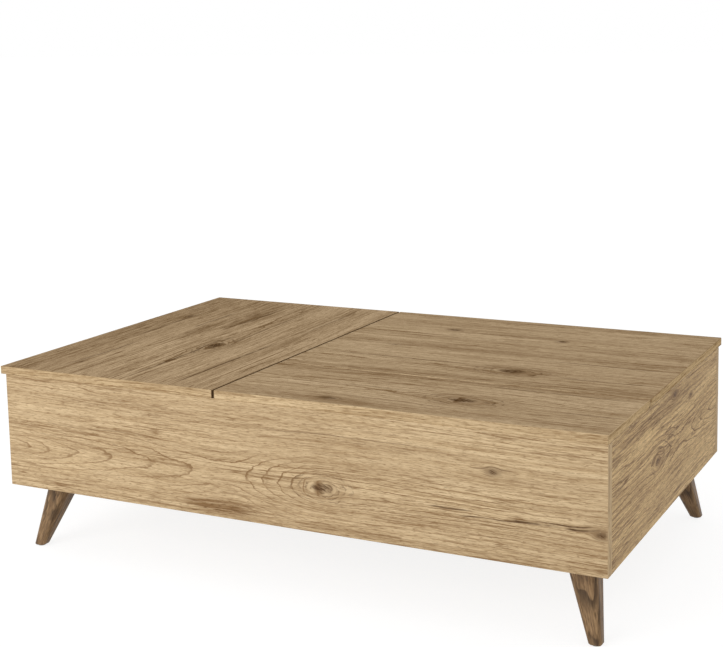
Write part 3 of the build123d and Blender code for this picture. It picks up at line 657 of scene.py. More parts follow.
class OakPrint(Shader):
    """The material of one board while its decor is laid, tone by tone.

    A surface faces an axis if its normal has more than squarely there. Wander is the sway of the grain,
    edge_row moves the long edges to a stretch of grain of their own, and the edge along a seam gets painted
    shade, standing in for the gap's shadow, within the seam shade reach of it, all in metres.
    """

    squarely: float = 0.75
    wander: float = 0.016
    edge_row: float = 0.31
    seam_reach: float = 0.004
    seam_soft: float = 0.6
    seam_share: float = 0.85

    def __init__(self, node: str, decor: OakDecor) -> None:
        """Sets out the board's coordinates, textures and tones.

        Args:
            node: The board's CAD node, whose box places the figure.
            decor: What the board shows.
        """
        super().__init__(f"oak_{node}")
        self.decor = decor
        self.low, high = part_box(node)
        grain, width, thick = decor.lie.value
        self.length, self.breadth = high[grain] - self.low[grain], high[width] - self.low[width]
        self.at = [part - self.low[axis] for axis, part in enumerate(self.place())]
        facing = self.facing()
        self.end, self.broad = facing[grain] > self.squarely, facing[thick] > self.squarely
        self.face = self.broad if decor.sides_banded else 1.0 - self.end
        self.u = self.at[grain] * (1.0 - self.end) + self.at[width] * self.end
        self.v = (self.at[thick] + self.edge_row) * (1.0 - self.broad) + self.at[width] * self.broad
        self.v = self.v + self.drawn(WANDER).sway(self.wander)
        self.straight = self.v
        self.reaches = self._bend_round_knots()

        self.fibre, self.hair, self.fine = self.drawn(FIBRE), self.drawn(HAIR), self.drawn(FINE)
        self.streak, self.patch = self.drawn(STREAK), self.drawn(PATCH)
        self.pores = GROUND.pore.of(self.drawn(PORE))
        self.rings = self._rings()
        self.streaky = SMUDGES.fibre.of(self.fibre) + SMUDGES.hair.of(self.hair) + SMUDGES.least
        self.groove = self.pores * PRESS.pores + self.rings * PRESS.rings
        tones = [self._tone(part.name) for part in fields(OakTones)]
        self.light, self.mid, self.band, self.ring, self.heart = tones
        pale = GROUND.pale_fibre.of(self.fibre) + GROUND.pale_streak.of(self.streak)
        self.colour = self.blend(self.mid, self.light, pale)

    def drawn(self, texture: Texture, across: Optional[Value] = None) -> Value:
        """A texture over the board.

        Args:
            texture: The texture.
            across: Metres across the grain; those bent round the knots if none are given.

        Returns:
            The texture, about 0.5.
        """
        u, v = self.u / texture.along, (self.v if across is None else across) / texture.across
        return self.noise(u, v, self.decor.seed + texture.seed, texture.detail, texture.rough)

    def _tone(self, name: str) -> Value:
        """One of the decor's colours, which may differ between face, long edges and ends.

        Args:
            name: The tone's name in OakTones.

        Returns:
            The colour.
        """
        decor = self.decor
        plain = self.blend(getattr(decor.edge_tones, name), getattr(decor.tones, name), self.face)
        return self.blend(plain, getattr(decor.end_tones, name), self.end)

    def lay(self, tone: Value, share: Value) -> None:
        """Lays a share of a tone over what is there."""
        self.colour = self.blend(self.colour, tone, share)

    def finished(self) -> bpy.types.Material:
        """Lays every part of the decor, paints the shade along a seam, and closes the material.

        Returns:
            The material.
        """
        self._ground()
        self._smudges()
        self._cracks()
        self._knots()
        # painted shade on the edge in the gap between the lids
        if self.decor.seam is not None:
            self._seam()
        relief = self.fibre * PRESS.fibre + self.hair * PRESS.hair + self.fine * PRESS.fine - self.groove
        return self.surface(
            Base_Color=self.colour,
            Roughness=PRESS.roughness + self.fibre.sway(PRESS.rough_fibre) + self.pores * PRESS.rough_pores,
            Normal=self.bump(relief, PRESS.depth, PRESS.strength),
            Specular_IOR_Level=self.decor.specular,
        )

    def _bend_round_knots(self) -> list[Value]:
        """Bends the grain round the knots.

        Returns:
            The distance from each knot's middle, in the knot's radii.
        """
        bend, reaches = 0.0, []
        for knot in self.decor.knots:
            du = (self.u - knot.along * self.length) / knot.stretch
            dv = self.v - knot.across * self.breadth
            square = du * du + dv * dv
            bend = dv * (knot.radius**2) / square.most(knot.radius**2) + bend
            reaches.append(square.root() / knot.radius)
        self.v = self.v - self.broad * bend
        return reaches

    def _ground(self) -> None:
        """Lays the bands, streaks, lines, fibres, pores and growth rings over the ground tone."""
        deep = self.decor.contrast
        line = GROUND.line.of(abs(self.drawn(LINE) - NOISE_MIDDLE))
        line = line * (GROUND.line_patch.of(self.patch) + GROUND.line_least)
        self.lay(self.band, GROUND.band.of(self.drawn(BAND)) * deep)
        self.lay(self.band, GROUND.dark_streak.of(self.streak) * deep)
        self.lay(self.light, GROUND.fleck.of(self.drawn(FLECK)))
        self.lay(self.ring, line * deep)
        self.lay(self.ring, GROUND.dark_fibre.of(self.fibre) * deep)
        self.lay(self.ring, GROUND.dark_hair.of(self.hair) * deep)
        self.lay(self.light, GROUND.pale_fine.of(self.fine))
        self.lay(self.ring, GROUND.dark_fine.of(self.fine))
        self.lay(self.ring, self.pores * GROUND.pore_share)
        self.lay(self.ring, self.rings)
        self.lay(self.heart, GROUND.tick.of(self.drawn(TICK)) * self.decor.ticks)

    def _smudges(self) -> None:
        """Lays the smudges, streaky along the grain."""
        strokes = SMUDGES.stroke.of(self.hair) + self.pores * SMUDGES.pores
        for smudge in self.decor.smudges:
            du = (self.u - smudge.along * self.length) / smudge.length
            dv = (self.v - smudge.across * self.breadth) / smudge.width
            soft = math.e ** -(du * du + dv * dv)
            self.lay(self.ring, soft * self.streaky * self.broad * smudge.strength)
            self.lay(self.heart, soft * strokes * self.broad * smudge.strength * SMUDGES.heart_share)

    def _cracks(self) -> None:
        """Lays the cracks and presses them in."""
        for crack in self.decor.cracks:
            mask = self._crack(crack) * self.broad
            self.lay(self.heart, mask)
            self.groove = self.groove + mask

    def _crack(self, crack: Crack) -> Value:
        """The darkness of one thin line along the grain.

        Args:
            crack: The line.

        Returns:
            Its darkness.
        """
        seed, look, across = self.decor.seed, CRACKS, crack.across
        wander = self.mottled((self.u, across, seed + look.sway_seed), look.sway_noise).sway(look.sway)
        off = abs(self.v + wander - across * self.breadth)
        gaps = self.mottled((self.u, across, seed + look.gap_seed), look.gap_noise)
        broken = look.gap.of(gaps) + look.gap_least
        taper = (crack.end - crack.start) * self.length * look.taper
        begun = (self.u - crack.start * self.length).rise(0.0, taper)
        inside = begun * (self.u - crack.end * self.length).fall(-taper, look.past_end)
        return off.fall(crack.width * look.sharp, crack.width * look.soft) * inside * broken * crack.strength

    def _rings(self) -> Value:
        """Growth rings, closed into a heart figure along the middle of the board.

        Returns:
            The rings' darkness.
        """
        figure, look, seed = self.decor.figure, RINGS, self.decor.seed
        deepest = max(depth for _, depth in figure.depth)
        stops = [(place, depth / deepest) for place, depth in figure.depth]
        ramp = self.node("ShaderNodeValToRGB", {"stops": stops}, {"Fac": self.u / self.length})["Color"]
        depth = self.node("ShaderNodeRGBToBW", None, {"Color": ramp})["Val"] * deepest
        meander = self.noise(self.u * look.meander_scale, seed, look.meander_row).sway(look.meander)
        off = self.v - figure.across * self.breadth + meander
        ring = (off * off + depth * depth).root() / figure.spacing
        swell = self.mottled((self.u, self.v, seed + look.swell_seed), look.swell_noise)
        drift, edge = self.drawn(RING_DRIFT), self.drawn(RING_EDGE)
        turn = (ring + swell * look.swell + drift * look.drift + edge * look.edge).fraction()
        close = look.close.of(turn)
        line = look.onset.of(turn) * close * look.line_share + look.flush.of(turn) * close * look.flush_share
        broken = look.gap.of(self.drawn(RING_GAP)) + look.gap_least
        strength = look.patch.of(self.patch) + look.least + look.near.of(abs(off)) * figure.strength
        return line * strength.least(1.0) * broken

    def _knots(self) -> None:
        """Lays each knot's halo, ringlets and core, and presses the core in."""
        look = KNOTS
        hatch = look.hatch.of(self.drawn(HATCH, self.straight + self.u * look.hatch_slant)) + look.hatch_least
        ragged = self.drawn(KNOT_EDGE, self.straight).sway(look.ragged)
        gap = look.gap.of(self.drawn(KNOT_GAP, self.straight))
        for knot, reach in zip(self.decor.knots, self.reaches):
            uneven = reach + ragged
            shown = self.broad * knot.depth
            if knot.radius < look.ringed_from:
                ringlets = look.blot.of(uneven)
            else:
                turn = (uneven * look.turns + look.first_turn).fraction()
                ringlets = look.onset.of(turn) * look.close.of(turn) * look.reach.of(uneven) * gap
            core = look.core.of(uneven)
            self.lay(self.band, look.halo.of(uneven) * shown * self.streaky * look.share)
            self.lay(self.heart, ringlets * shown * look.share)
            self.lay(self.heart, core * shown * hatch)
            self.groove = self.groove + core * shown * look.dent

    def _seam(self) -> None:
        """Paints shade on the edges that face another lid across the seam, darkening them as the gap's
        shadow.
        """
        off = abs(self.at[0] + (self.low.x - self.decor.seam))
        # painted shade: darkest right at the seam, fading out within the reach
        close = off.fall(self.seam_reach * self.seam_soft, self.seam_reach)
        self.lay(self.heart, close * (1.0 - self.broad) * self.seam_share)


@dataclass
class Boards:
    """Every board of the box and its three lids, each with its own stretch of decor."""

    front_panel: OakDecor = OakDecor(
        Lie.FRONT, 2.0,
        Figure(0.369, 0.44, (
            (0.0, 0.004), (0.035, 0.0085), (0.07, 0.017), (0.12, 0.0255), (0.19, 0.034), (0.27, 0.0425),
            (0.34, 0.0505), (0.41, 0.0560), (0.44, 0.0540), (0.467, 0.045), (0.50, 0.034), (0.525, 0.0255),
            (0.545, 0.017), (0.573, 0.005), (0.66, 0.004), (1.0, 0.004),
        )),
        knots=(
            Knot(0.573, 0.372, 0.0118, 2.4), Knot(0.8375, 0.69, 0.0062, 1.8),
            Knot(0.992, 0.315, 0.0066, 2.0),
        ),
        smudges=(
            Smudge(0.20, 0.83, 0.20, 0.014, 0.42), Smudge(0.66, 0.765, 0.20, 0.007, 0.45),
            Smudge(0.395, 0.095, 0.060, 0.013, 2.4), Smudge(0.45, 0.03, 0.9, 0.012, 0.32),
            Smudge(0.775, 0.352, 0.016, 0.0044, 1.4), Smudge(0.875, 0.352, 0.012, 0.0042, 1.4),
            Smudge(0.36, 0.12, 0.014, 0.004, 1.2), Smudge(0.415, 0.10, 0.012, 0.004, 1.2),
            Smudge(0.312, 0.825, 0.011, 0.0018, 0.9), Smudge(0.265, 0.33, 0.010, 0.0018, 0.8),
            Smudge(0.985, 0.37, 0.034, 0.009, 0.8), Smudge(0.33, 0.03, 0.006, 0.003, 0.8),
            Smudge(0.69, 0.86, 0.012, 0.0022, 0.7), Smudge(0.10, 0.07, 0.05, 0.006, 0.35),
        ),
        cracks=(
            Crack(0.735, 0.81, 0.352, 0.8, 0.0013), Crack(0.775, 0.90, 0.322, 0.9, 0.0011),
            Crack(0.852, 0.938, 0.338, 0.9, 0.0016), Crack(0.89, 0.99, 0.352, 0.9, 0.0012),
            Crack(0.935, 1.0, 0.335, 1.0, 0.0016), Crack(0.42, 0.80, 0.80, 0.45),
            Crack(0.04, 0.30, 0.60, 0.35), Crack(0.80, 0.87, 0.70, 0.8, 0.0010),
        ),
    )
    back_panel: OakDecor = OakDecor(
        Lie.FRONT, 41.0,
        Figure(0.58, 0.7, (
            (0.0, 0.045), (0.18, 0.045), (0.30, 0.028), (0.42, 0.010), (0.55, 0.014), (0.75, 0.036),
            (1.0, 0.05),
        )),
        knots=(
            Knot(0.43, 0.575, 0.011, 2.2), Knot(0.16, 0.27, 0.0045, 1.8), Knot(0.83, 0.78, 0.006, 2.4, 0.7),
        ),
        smudges=(Smudge(0.7, 0.12, 0.3, 0.014, 0.4), Smudge(0.25, 0.85, 0.2, 0.012, 0.4)),
        cracks=(Crack(0.46, 0.78, 0.56, 0.6), Crack(0.05, 0.3, 0.3, 0.4)),
    )
    left_side_panel: OakDecor = OakDecor(
        Lie.SIDE, 57.0,
        Figure(0.45, 0.7, (
            (0.0, 0.036), (0.25, 0.030), (0.5, 0.016), (0.68, 0.006), (0.8, 0.02), (1.0, 0.034),
        )),
        knots=(Knot(0.68, 0.45, 0.012, 2.0), Knot(0.24, 0.76, 0.0045, 2.0, 0.8)),
        smudges=(Smudge(0.4, 0.9, 0.1, 0.012, 0.5), Smudge(0.5, 0.05, 0.4, 0.012, 0.35)),
        cracks=(Crack(0.1, 0.5, 0.43, 0.4),),
        tones=LIT_SIDE_TONES, contrast=1.5,
    )
    right_side_panel: OakDecor = OakDecor(
        Lie.SIDE, 73.0,
        Figure(0.516, 0.8, (
            (0.0, 0.012), (0.26, 0.014), (0.376, 0.004), (0.455, 0.020), (0.55, 0.034), (0.65, 0.034),
            (0.75, 0.0255), (0.865, 0.014), (1.0, 0.004),
        )),
        knots=(
            Knot(0.376, 0.505, 0.0098, 1.7), Knot(0.705, 0.80, 0.0055, 2.4, 0.8),
            Knot(0.54, 0.93, 0.006, 2.4),
        ),
        smudges=(
            Smudge(0.53, 0.93, 0.07, 0.018, 1.0), Smudge(0.68, 0.85, 0.10, 0.014, 0.9),
            Smudge(0.40, 0.87, 0.06, 0.012, 0.7), Smudge(0.45, 0.10, 0.25, 0.012, 0.5),
            Smudge(0.25, 0.90, 0.20, 0.016, 0.35), Smudge(0.10, 0.08, 0.10, 0.008, 0.4),
            Smudge(0.42, 0.49, 0.03, 0.010, 0.5),
        ),
        cracks=(Crack(0.0, 0.30, 0.50, 0.45), Crack(0.45, 0.95, 0.20, 0.25)),
        tones=LIT_SIDE_TONES, contrast=1.5,
    )
    long_partition: OakDecor = OakDecor(
        Lie.SIDE, 89.0,
        Figure(0.5, 0.45, ((0.0, 0.01), (0.4, 0.034), (0.6, 0.034), (1.0, 0.012))),
        knots=(Knot(0.3, 0.62, 0.008, 2.2),),
    )
    cross_partition: OakDecor = OakDecor(
        Lie.FRONT, 97.0,
        Figure(0.45, 0.45, ((0.0, 0.03), (0.35, 0.012), (0.7, 0.03), (1.0, 0.016))),
        knots=(Knot(0.62, 0.3, 0.007, 2.2),),
    )
    bottom_panel: OakDecor = OakDecor(
        Lie.FLAT_ALONG, 103.0,
        Figure(0.36, 0.45, ((0.0, 0.02), (0.3, 0.05), (0.6, 0.014), (1.0, 0.04))),
        knots=(Knot(0.21, 0.62, 0.010, 2.2), Knot(0.72, 0.33, 0.008, 2.2)),
    )
    left_lid: OakDecor = OakDecor(
        Lie.FLAT_ACROSS, 127.0,
        Figure(0.575, 0.45, (
            (0.0, 0.022), (0.30, 0.018), (0.407, 0.006), (0.50, 0.016), (0.70, 0.022), (0.82, 0.014),
            (1.0, 0.003),
        )),
        knots=(
            Knot(0.407, 0.592, 0.0150, 2.2), Knot(0.12, 0.25, 0.0045, 2.4, 0.7),
            Knot(0.71, 0.141, 0.007, 1.8, 0.8),
        ),
        smudges=(
            Smudge(0.71, 0.447, 0.100, 0.020, 1.6), Smudge(0.555, 0.353, 0.070, 0.016, 1.3),
            Smudge(0.50, 0.08, 0.70, 0.060, 0.6), Smudge(0.86, 0.42, 0.09, 0.05, 0.8),
            Smudge(0.70, 0.141, 0.030, 0.012, 1.2), Smudge(0.19, 0.80, 0.14, 0.006, 0.7),
            Smudge(0.13, 0.56, 0.11, 0.0035, 0.55), Smudge(0.5, 0.10, 0.6, 0.022, 0.45),
            Smudge(0.80, 0.80, 0.16, 0.014, 0.5), Smudge(0.55, 0.83, 0.12, 0.010, 0.4),
            Smudge(0.9, 0.30, 0.12, 0.03, 0.4), Smudge(0.14, 0.87, 0.05, 0.006, 0.5),
        ),
        cracks=(
            Crack(0.0, 0.52, 0.80, 0.75, 0.0024), Crack(0.0, 0.56, 0.575, 0.8, 0.0021),
            Crack(0.40, 0.85, 0.62, 0.55, 0.0019), Crack(0.60, 0.95, 0.82, 0.5, 0.0018),
            Crack(0.55, 0.85, 0.30, 0.65, 0.0024), Crack(0.40, 0.80, 0.155, 0.6, 0.0020),
            Crack(0.05, 0.40, 0.235, 0.65, 0.0020), Crack(0.62, 0.92, 0.46, 0.6, 0.0020),
        ),
        end_tones=OakTones(), tones=SHADED_LEFT_LID_TONES, contrast=1.2, ticks=0.5, seam=LID_SEAM, specular=0.0,
    )
    back_lid: OakDecor = OakDecor(
        Lie.FLAT_ALONG, 139.0,
        Figure(0.18, 0.40, (
            (0.0, 0.014), (0.10, 0.008), (0.25, 0.016), (0.45, 0.020), (0.601, 0.006), (0.70, 0.014),
            (1.0, 0.016),
        )),
        knots=(
            Knot(0.601, 0.185, 0.0165, 2.1), Knot(0.266, 0.75, 0.0088, 1.5),
            Knot(0.605, 0.698, 0.0082, 1.4), Knot(0.186, 0.42, 0.004, 3.0, 0.6),
        ),
        smudges=(
            Smudge(0.45, 0.723, 0.090, 0.0100, 1.4), Smudge(0.5, 0.434, 0.5, 0.014, 0.80),
            Smudge(0.60, 0.040, 0.5, 0.014, 0.85), Smudge(0.60, 0.185, 0.08, 0.020, 1.2),
            Smudge(0.28, 0.045, 0.03, 0.009, 0.6), Smudge(0.90, 0.56, 0.20, 0.016, 0.5),
            Smudge(0.5, 0.95, 0.5, 0.016, 0.45), Smudge(0.12, 0.60, 0.2, 0.02, 0.3),
            Smudge(0.85, 0.38, 0.1, 0.006, 0.5),
        ),
        cracks=(
            Crack(0.70, 1.0, 0.161, 0.8, 0.0014), Crack(0.62, 1.0, 0.37, 0.8, 0.0013),
            Crack(0.1, 0.9, 0.62, 0.5), Crack(0.02, 0.50, 0.23, 0.8, 0.0013), Crack(0.25, 0.65, 0.86, 0.6),
        ),
        tones=SHADED_LID_TONES, contrast=1.2, ticks=0.55, sides_banded=False, seam=LID_SEAM, specular=0.0,
    )
    front_flap: OakDecor = OakDecor(
        Lie.FLAT_ALONG, 151.0,
        Figure(0.47, 0.42, (
            (0.0, 0.016), (0.10, 0.008), (0.25, 0.016), (0.45, 0.020), (0.601, 0.006), (0.70, 0.014),
            (1.0, 0.016),
        )),
        knots=(Knot(0.601, 0.463, 0.0165, 2.1), Knot(0.296, 0.14, 0.0080, 2.4, 0.8)),
        smudges=(
            Smudge(0.30, 0.13, 0.06, 0.014, 1.0), Smudge(0.55, 0.955, 0.6, 0.013, 1.0),
            Smudge(0.60, 0.463, 0.08, 0.020, 1.2), Smudge(0.30, 0.09, 0.30, 0.018, 0.4),
            Smudge(0.85, 0.30, 0.15, 0.010, 0.35),
        ),
        cracks=(
            Crack(0.55, 1.0, 0.89, 0.8, 0.0013), Crack(0.82, 1.0, 0.43, 0.7, 0.0013),
            Crack(0.05, 0.50, 0.55, 0.6), Crack(0.20, 0.75, 0.26, 0.5),
        ),
        tones=SHADED_LID_TONES, contrast=1.2, ticks=0.55, seam=LID_SEAM, specular=0.0,
    )

    def dress(self) -> None:
        """Gives each board its decor."""
        for board in fields(self):
            assign(board.name, getattr(self, board.name).build(board.name))


# --------------------------------------------------------------------------- other finishes
@dataclass(frozen=True)
class Walnut:
    """Turned-down walnut with a satin lacquer, solid through the leg.

    The rings lie about an upright line at the centre, which leans with the leg; lengths are in metres.
    """

    light: Colour = tint(156, 126, 91)
    dark: Colour = tint(106, 81, 55)
    streak: Colour = tint(52, 37, 23)
    centre: tuple[float, float] = (0.0, 0.0)
    lean: tuple[float, float] = (0.0, 0.0)
    drift: Mottle = Mottle((9.0, 9.0, 7.0))
    drift_reach: float = 0.034
    along: Mottle = Mottle((21.0, 21.0, 11.0))
    along_reach: float = 0.014
    ring_slant: float = 0.03
    ring_spacing: float = 0.0062
    onset: Shade = Shade(0.25, 0.92)
    close: Shade = Shade(0.995, 0.95)
    fibre: Mottle = Mottle((420.0, 420.0, 16.0), 4.0, 0.62)
    patch: Mottle = Mottle((110.0, 110.0, 30.0), 3.0)
    squiggle: Mottle = Mottle((55.0, 55.0, 24.0), 3.0)
    pale_fibre: Shade = Shade(0.28, 0.70)
    dark_patch: Shade = Shade(0.44, 0.62, 0.55)
    line: Shade = Shade(0.40, 0.56, 0.55)
    line_least: float = 0.15
    dark_fibre: Shade = Shade(0.44, 0.28, 0.55)
    roughness: float = 0.42
    rough_fibre: float = 0.16
    fibre_relief: float = 0.6
    line_relief: float = 0.4
    relief: float = 0.0002
    relief_strength: float = 0.5
    specular: float = 0.2

    def build(self, name: str) -> bpy.types.Material:
        """Builds the finish of one leg.

        Args:
            name: The material's name.

        Returns:
            The material.
        """
        shader = Shader(name)
        x, y, z = shader.place()
        place = (x - z * self.lean[0], y - z * self.lean[1], z)
        fibre = shader.mottled(place, self.fibre)
        line = self._rings(shader, place)
        squiggle = self.line.of(shader.mottled(place, self.squiggle)) + self.line_least
        colour = shader.blend(self.dark, self.light, self.pale_fibre.of(fibre))
        colour = shader.blend(colour, self.dark, self.dark_patch.of(shader.mottled(place, self.patch)))
        colour = shader.blend(colour, self.streak, line * squiggle)
        colour = shader.blend(colour, self.streak, self.dark_fibre.of(fibre))
        relief = fibre * self.fibre_relief - line * self.line_relief
        return shader.surface(
            Base_Color=colour,
            Roughness=self.roughness + fibre.sway(self.rough_fibre),
            Normal=shader.bump(relief, self.relief, self.relief_strength),
            Specular_IOR_Level=self.specular,
        )

    def _rings(self, shader: Shader, place: Sequence[Value]) -> Value:
        """The dark line of each growth ring.

        Args:
            shader: The material under construction.
            place: Where the surface lies, with the leg stood upright.

        Returns:
            The lines' darkness.
        """
        x, y, z = place
        drift = shader.mottled(place, self.drift).sway(self.drift_reach)
        along = shader.mottled(place, self.along).sway(self.along_reach)
        east, north = x - self.centre[0] + drift, y - self.centre[1] + along + z * self.ring_slant
        ring = ((east * east + north * north).root() / self.ring_spacing).fraction()
        return self.onset.of(ring) * self.close.of(ring)


@dataclass(frozen=True)
class Metal:
    """Paint or plate over steel: two tones, a roughness, and a grain of a given pitch and depth in metres."""

    light: Colour
    dark: Colour
    metallic: float
    roughness: float
    pitch: float
    relief: float
    coat: float = 0.0
    cloud: Mottle = Mottle((18.0,) * 3, 3.0, 0.6)
    speck: Mottle = Mottle((1300.0,) * 3)
    cloud_share: float = 0.6
    speck_share: float = 0.4
    tone: Shade = Shade(0.34, 0.66)
    rough_cloud: float = 0.16
    rough_speck: float = 0.08
    relief_strength: float = 0.6

    def build(self, name: str) -> bpy.types.Material:
        """Builds the finish.

        Args:
            name: The material's name.

        Returns:
            The material.
        """
        shader = Shader(name)
        place = shader.place()
        cloud, speck = shader.mottled(place, self.cloud), shader.mottled(place, self.speck)
        peel = shader.mottled(place, Mottle((1.0 / self.pitch,) * 3))
        tone = self.tone.of(cloud * self.cloud_share + speck * self.speck_share)
        return shader.surface(
            Base_Color=shader.blend(self.dark, self.light, tone),
            Metallic=self.metallic,
            Roughness=self.roughness + cloud.sway(self.rough_cloud) + speck.sway(self.rough_speck),
            Normal=shader.bump(peel, self.relief, self.relief_strength),
            Coat_Weight=self.coat,
        )


@dataclass(frozen=True)
class Moulded:
    """Moulded plastic or bare wood with a fine even texture, its relief in metres."""

    light: Colour
    dark: Colour
    roughness: float
    texture: Mottle = Mottle((900.0,) * 3, 3.0, 0.6)
    tone: Shade = Shade(0.3, 0.7)
    rough_texture: float = 0.2
    relief: float = 0.0001
    relief_strength: float = 0.4

    def build(self, name: str) -> bpy.types.Material:
        """Builds the finish.

        Args:
            name: The material's name.

        Returns:
            The material.
        """
        shader = Shader(name)
        texture = shader.mottled(shader.place(), self.texture)
        return shader.surface(
            Base_Color=shader.blend(self.dark, self.light, self.tone.of(texture)),
            Roughness=self.roughness + texture.sway(self.rough_texture),
            Normal=shader.bump(texture, self.relief, self.relief_strength),
        )


BEECH_GRAIN = Mottle((500.0, 90.0, 500.0), 3.0, 0.6)


class Finish(Enum):
    """The finishes of the fittings, each with the name that its material takes."""

    BLACK_STEEL = ("black_steel", Metal(tint(66, 67, 70), tint(52, 53, 56), 0.0, 0.46, 0.0011, 0.00006))
    STRUT_BLACK = ("strut_black", Metal(tint(46, 46, 48), tint(38, 38, 40), 0.0, 0.24, 0.004, 0.00002, 0.4))
    ROD_CHROME = ("rod_chrome", Metal(tint(228, 229, 232), tint(212, 213, 217), 1.0, 0.12, 0.0009, 0.000004))
    ZINC = ("zinc", Metal(tint(206, 207, 209), tint(176, 177, 178), 1.0, 0.32, 0.0008, 0.00002))
    NICKEL = ("hinge_nickel", Metal(tint(112, 111, 112), tint(86, 85, 87), 0.9, 0.34, 0.0013, 0.00002))
    BEECH = ("beech", Moulded(tint(214, 184, 146), tint(189, 156, 118), 0.6, BEECH_GRAIN))
    GLIDE = ("glide_plastic", Moulded(tint(40, 40, 42), tint(30, 30, 32), 0.55))

    def material(self) -> bpy.types.Material:
        """The finish's one material, made when first asked for."""
        slot, maker = self.value
        return bpy.data.materials.get(slot + "_finish") or maker.build(slot + "_finish")


def assign(node: str, material: bpy.types.Material) -> None:
    """Puts a material on every slot of a CAD node.

    Args:
        node: The CAD node's name.
        material: Its material.
    """
    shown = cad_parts[node]
    if not shown.material_slots:
        raise ValueError(f"{node} has no material slot")
    for slot in shown.material_slots:
        slot.material = material
    log.info("dressed %s with %s", node, material.name)


# --------------------------------------------------------------------------- recessed fasteners
@dataclass(frozen=True)
class Seat:
    """Where a fastener's head is and which way it goes in."""

    head: Vector
    into: Vector


def solids_of(node: str, merge: float = 1e-6) -> list[list[Vector]]:
    """The corner points of each separate solid in a CAD node.

    Args:
        node: The CAD node's name.
        merge: Points nearer than this many metres are one.

    Returns:
        One list of points for each solid.
    """
    mesh = bmesh.new()
    mesh.from_mesh(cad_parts[node].data)
    bmesh.ops.remove_doubles(mesh, verts=mesh.verts, dist=merge)
    left, found = set(mesh.verts), []
    while left:
        reached = [left.pop()]
        for vert in reached:
            for edge in vert.link_edges:
                other = edge.other_vert(vert)
                if other in left:
                    left.remove(other)
                    reached.append(other)
        found.append([vert.co.copy() for vert in reached])
    mesh.free()
    return found


def seat_of(points: Sequence[Vector], near: float = 0.02) -> Seat:
    """Reads a screw's or cam's seat from its solid: the wide end is its head.

    Args:
        points: The solid's corner points.
        near: Share of the length within which a point counts as at an end.

    Returns:
        The seat.
    """
    low = Vector([min(point[axis] for point in points) for axis in range(3)])
    high = Vector([max(point[axis] for point in points) for axis in range(3)])
    size, middle = high - low, (low + high) / 2
    axis = min(range(3), key=lambda one: abs(size[(one + 1) % 3] - size[(one + 2) % 3]))

    def spread(end: float) -> float:
        """The furthest that the points at one end lie from the axis.

        Args:
            end: Where the end lies along the axis.

        Returns:
            Their distance.
        """
        gaps = [point - middle for point in points if abs(point[axis] - end) < size[axis] * near]
        for gap in gaps:
            gap[axis] = 0.0
        return max(gap.length for gap in gaps)

    forward = spread(low[axis]) >= spread(high[axis])
    head, into = middle.copy(), Vector((0.0, 0.0, 0.0))
    head[axis] = low[axis] if forward else high[axis]
    into[axis] = 1.0 if forward else -1.0
    return Seat(head, into)


